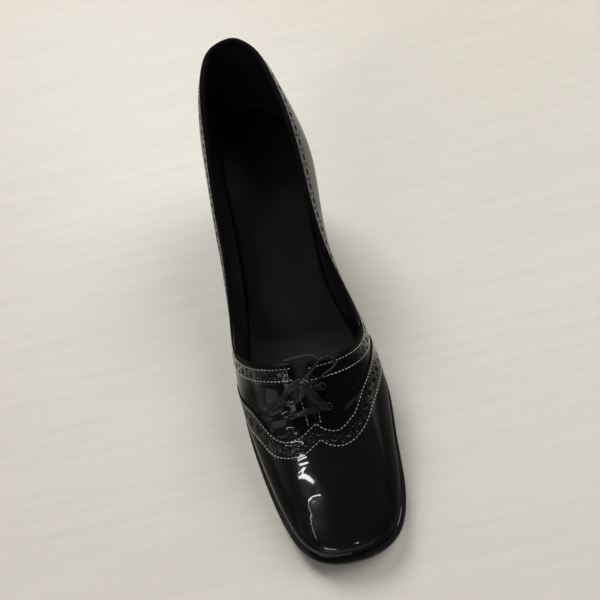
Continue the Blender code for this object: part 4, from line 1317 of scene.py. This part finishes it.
# %% Outsole
SOLE_BULGE, PLATE_WELD = 0.5, 0.02
step_turns = turn_at_station(np.array([STEP_STATION, STEP_STATION + STEP_LENGTH]))
sole_turns = np.sort(np.concatenate([np.linspace(0, 1, SOLE_TURNS), step_turns]))
rim = plan_column("rim", sole_turns)
sides = plate_sections(sole_turns, rim - SOLE_BULGE, sole_top, sole_under, SOLE_BULGE, 7)
points, faces = plate_mesh(sides)
columns = sides[0].shape[1]
column_of = np.tile(np.arange(columns - 1), len(sole_turns) - 1)
row_of = np.repeat(np.arange(len(sole_turns) - 1), columns - 1)
below = column_of >= columns - SOLE_COLUMNS
waist = plan_column("station", sole_turns)[row_of] > STEP_STATION + 0.5
index = np.where(below, np.where(waist, 2, 1), 0)
sole_materials = [edge_material, tread_material, waist_material]
outsole = make_piece("outsole_leather", points, faces, sole_materials, ("outsole",),
                     material_index=np.concatenate([index, index]))
welded(outsole, 32, PLATE_WELD)
print("outsole:", len(outsole.data.polygons), "faces")

# %% Gouges in the waist
Gouge = namedtuple("Gouge", "station start end width")
GOUGES = [Gouge(164.0, 4.0, 16.0, 1.5), Gouge(176.0, -6.0, 2.0, 1.7), Gouge(172.0, -11.0, -9.5, 1.8),
          Gouge(155.0, 8.0, 12.0, 0.9), Gouge(148.0, 5.0, 8.5, 0.8)]
sole_points = np.array([vertex.co for vertex in outsole.data.vertices]) / MM
sole_points = sole_points + [CENTRE_OFFSET, CENTRE_STATION, 0]
gouged = np.zeros(len(sole_points))
for gouge in GOUGES:
    past = sole_points[:, 0] - np.clip(sole_points[:, 0], gouge.start, gouge.end)
    apart = np.hypot(past, sole_points[:, 1] - gouge.station)
    gouged = np.maximum(gouged, 1 - ease(apart, 0.5 * gouge.width, 1.5 * gouge.width))
set_value(outsole, "gouge", gouged * (sole_points[:, 2] < sole_under(sole_points[:, 1]) + 0.5))
print(len(GOUGES), "gouges")

# %% [markdown]
# Inside lies a sock of thin leather over the insole board. It dips a little where heel and ball have
# pressed it.

# %% Insole
INSOLE_THICK, INSOLE_BULGE, INSOLE_TURNS = 1.8, 0.3, 140


def sock_under(station):
    return sole_top(station) + GAP


def sock_top(station):
    worn = 0.35 * np.exp(-((station - 90) / 22)**2) + 0.4 * np.exp(-((station - 222) / 16)**2)
    return sock_under(station) + INSOLE_THICK - worn


insole_turns = np.linspace(0, 1, INSOLE_TURNS)
inset = np.full_like(insole_turns, -WALL - 2 * GAP - INSOLE_BULGE)
points, faces = plate_mesh(plate_sections(insole_turns, inset, sock_top, sock_under, INSOLE_BULGE, 5))
insole = make_piece("insole_sock", points, faces, [lining_material], ("insole",))
welded(insole, 40, PLATE_WELD)
print("insole:", len(insole.data.polygons), "faces")

# %% [markdown]
# The heel is a block covered in thin leather. Its outline at the seat follows the sole, and lower levels
# draw it in and flare it again at the lift. The front, called the breast, is flat across. Rings at many
# levels make the curve; the breast edges stay sharp, and that is where the cover has worn through to tan.

# %% Heel materials
HEEL_BLACK, HEEL_TAN = (0.009, 0.009, 0.0092), (0.40, 0.235, 0.115)
RUBBER_BLACK, RUBBER_GREY = (0.015, 0.015, 0.015), (0.06, 0.058, 0.055)
heel_material, tree, shader = new_material("heel_cover", HEEL_BLACK, 0.32, Coat_Weight=0.2,
                                           Coat_Roughness=0.2, Specular_IOR_Level=0.3)
wear = attribute(tree, "wear")
ragged = join(tree, "MULTIPLY", wear, remap(tree, noise(tree, 260.0, 6.0, 0.7), 0.42, 0.62, 0.0, 1.0))
connect(shader, "Base Color", blend_colour(tree, ragged, HEEL_BLACK, HEEL_TAN))
connect(shader, "Roughness", remap(tree, ragged, 0.0, 1.0, 0.32, 0.8))
connect(shader, "Coat Weight", remap(tree, ragged, 0.0, 0.5, 0.2, 0.0))
connect(shader, "Normal", bump(tree, noise(tree, 1300.0, 4.0, 0.6), 0.2, 0.0001))

lift_material, tree, shader = new_material("lift_rubber", (0.017, 0.017, 0.017), 0.8)
connect(shader, "Normal", bump(tree, noise(tree, 1500.0, 5.0, 0.7), 0.6, 0.0002))
rubbed = remap(tree, noise(tree, 160.0, 5.0, 0.65), 0.5, 0.8, 0.0, 1.0)
connect(shader, "Base Color", blend_colour(tree, rubbed, RUBBER_BLACK, RUBBER_GREY))
print("heel materials made")

# %% Heel
HeelLevel = namedtuple("HeelLevel", "level breast back half")
HEEL = [
    HeelLevel(0.00, 208.5, 234.6, 13.4),
    HeelLevel(0.10, 208.2, 234.2, 13.0),
    HeelLevel(0.25, 207.4, 234.4, 13.1),
    HeelLevel(0.42, 206.0, 236.0, 14.6),
    HeelLevel(0.58, 203.9, 238.9, 17.2),
    HeelLevel(0.74, 201.0, 242.6, 20.5),
    HeelLevel(0.88, 197.6, 245.6, 23.1),
    HeelLevel(1.00, 194.0, 246.8, 24.2),
]
LIFT_HEIGHT, LIFT_PROUD = 5.4, 0.25
HEEL_STEPS, BREAST_STEPS, HEEL_RINGS = 36, 12, 48
HEEL_GAP = 0.12


def heel_outline():
    """Seat outline from the outer breast edge round the back and across the breast, as shares of its size."""
    breast, back, half = HEEL[-1].breast, HEEL[-1].back, HEEL[-1].half
    turns = np.linspace(0, turn_at_station(breast), HEEL_STEPS)
    outline = []
    for side, order in ((LATERAL, slice(None, None, -1)), (MEDIAL, slice(1, None))):
        station, x = offset_outline(side, turns, plan_column("rim", turns))
        depth = np.clip((station - breast) / (back - breast), 0, 1)
        outline += list(zip(depth[order], (x / half)[order]))
    across = np.linspace(outline[-1][1], outline[0][1], BREAST_STEPS)[1:-1]
    outline += [(0.0, x) for x in across]
    return np.array(outline)


def heel_section(level, outline):
    levels = column(HEEL, "level")
    names = ("breast", "back", "half")
    breast, back, half = (smooth_curve(levels, column(HEEL, name), level) for name in names)
    return breast + outline[:, 0] * (back - breast), outline[:, 1] * half


outline = heel_outline()
rings = []
for level in np.linspace(0, 1, HEEL_RINGS):
    station, x = heel_section(level, outline)
    foot, seat = LIFT_HEIGHT + HEEL_GAP, sole_under(station) - HEEL_GAP
    rings.append(np.stack([x, station, foot + (seat - foot) * level], axis=-1))
rings = np.array(rings)
vertices, faces = swept(rings)
heel = make_piece("heel_block", vertices, faces, [heel_material], ("heel",))
step = np.arange(len(outline))
breast_edge = np.minimum(step, np.abs(step - (2 * HEEL_STEPS - 2)))
near_edge = np.clip(1 - breast_edge / 2.2, 0, 1)
low_part = np.interp(np.linspace(0, 1, HEEL_RINGS), [0.0, 0.35, 0.6, 1.0], [1.0, 0.85, 0.25, 0.10])
set_value(heel, "wear", low_part[:, None] * near_edge[None, :])
welded(heel, 35, PLATE_WELD)
print("heel:", len(heel.data.polygons), "faces")

# %% [markdown]
# The top lift is the piece that meets the floor: a D of hard rubber, a little proud of the heel, its edges
# rounded.

# %% Top lift
station, x = heel_section(0.0, outline)
middle = (station.min() + station.max()) / 2
LIFT_LEVELS = [(0.0, -0.35), (0.12, -0.12), (0.4, 0.0),
               (LIFT_HEIGHT - 0.5, 0.0), (LIFT_HEIGHT - 0.1, -0.1), (LIFT_HEIGHT, -0.35)]
rings = []
for z, shrink in LIFT_LEVELS:
    grow = 1 + (LIFT_PROUD + shrink) / HEEL[0].half
    rings.append(np.stack([x * grow, middle + (station - middle) * grow, np.full_like(x, z)], axis=-1))
vertices, faces = swept(np.array(rings))
lift_piece = make_piece("top_lift_rubber", vertices, faces, [lift_material], ("top_lift",))
welded(lift_piece, 40, PLATE_WELD)
print("top lift is %.1f mm thick" % LIFT_HEIGHT)

# %% [markdown]
# The shoe stands on a pale table with a faint grain. The floor is a large plane so that its edge stays out
# of sight.

# %% Floor
FLOOR_HALF = 3.0
TABLE_DARK, TABLE_LIGHT = (0.704, 0.662, 0.579), (0.741, 0.698, 0.613)
floor_material, tree, shader = new_material("pale_table", (0.74, 0.69, 0.625), 0.5)
streaks = noise(tree, 9.0, 6.0, 0.66, (1.0, 22.0, 1.0))
streak_share = remap(tree, streaks, 0.36, 0.60, 0.0, 1.0)
connect(shader, "Base Color", blend_colour(tree, streak_share, TABLE_DARK, TABLE_LIGHT))
connect(shader, "Normal", bump(tree, streaks, 0.06, 0.0004))
corners = [(x * FLOOR_HALF, y * FLOOR_HALF, 0) for x, y in ((-1, -1), (1, -1), (1, 1), (-1, 1))]
floor_mesh = bpy.data.meshes.new("table")
floor_mesh.from_pydata(corners, [], [(0, 1, 2, 3)])
floor_mesh.materials.append(floor_material)
floor = bpy.data.objects.new("table", floor_mesh)
bpy.context.scene.collection.objects.link(floor)
print("table is %.0f m wide" % (2 * FLOOR_HALF))

# %% [markdown]
# Black lacquer shows its room rather than itself, so the lights are placed by their reflections. A mirror
# at a point sends the camera's line off in one direction; the lamp goes there. The round of the toe shows a
# narrow bright lamp up on the left in front, its side a thin upright light, its front two small ones, and
# the creases a window on the left. A wide soft light from behind makes the shadow, another on the right
# softens it, and a dim room with one paler wall fills in.

# %% Lamps
Lamp = namedtuple("Lamp", "name place aim size power along")
UP, MIDDLE, TOE, VAMP = (0, 0, 1), (0, 0, 0), (0.0, -0.085, 0.03), (0.0, -0.045, 0.05)
LAMPS = [
    Lamp("soft_key", (-0.38, 1.32, 1.50), MIDDLE, (0.8, 0.7), 25.0, UP),
    Lamp("soft_fill", (1.2, 0.5, 1.6), MIDDLE, (1.4, 1.2), 20.5, UP),
    Lamp("strip_lamp", (-0.80, -0.86, 1.00), TOE, (0.055, 0.56), 2.8, (0.31, -0.09, 0.19)),
    Lamp("thin_light", (-1.005, -0.94, 0.71), TOE, (0.016, 0.38), 0.30, (0.04, -0.18, -0.17)),
    Lamp("front_strip", (-0.585, -1.457, 0.18), TOE, (0.46, 0.024), 1.3, UP),
    Lamp("front_spot", (0.06, -1.525, 0.465), TOE, (0.05, 0.04), 0.2, UP),
    Lamp("window", (-1.32, -0.09, 0.75), VAMP, (0.7, 0.8), 0.9, UP),
]


def area_light(name, place, aim, size, power, along):
    """A rectangular lamp that looks at an aim, its second side along a direction; metres and watts."""
    data = bpy.data.lights.new(name, "AREA")
    data.shape = "RECTANGLE"
    data.size, data.size_y = size
    data.energy = power
    lamp = bpy.data.objects.new(name, data)
    bpy.context.scene.collection.objects.link(lamp)
    back = (Vector(place) - Vector(aim)).normalized()
    across = Vector(along).cross(back).normalized()
    turned = Matrix((across, back.cross(across), back)).transposed().to_4x4()
    lamp.matrix_world = Matrix.Translation(place) @ turned


for lamp in LAMPS:
    area_light(*lamp)
print("lamps:", [lamp.name for lamp in LAMPS])

# %% Room
world = bpy.data.worlds.new("room")
bpy.context.scene.world = world
world.use_nodes = True
tree = world.node_tree
background = tree.nodes["Background"]
background.inputs["Color"].default_value = (0.97, 0.97, 1.0, 1.0)
axes = add_node(tree, "ShaderNodeSeparateXYZ")
tree.links.new(add_node(tree, "ShaderNodeTexCoord").outputs["Generated"], axes.inputs["Vector"])
low_wall = remap(tree, axes.outputs["Z"], 0.0, 0.30, 0.25, 0.0)
on_left = join(tree, "MULTIPLY", remap(tree, axes.outputs["X"], -0.80, -0.40, 1.0, 0.05),
               remap(tree, axes.outputs["Y"], -0.36, -0.20, 0.05, 1.0))
glow = join(tree, "ADD", join(tree, "MULTIPLY", low_wall, on_left), 0.05)
connect(background, "Strength", glow)
bpy.context.scene.view_settings.view_transform = "Standard"
print("world:", world.name)
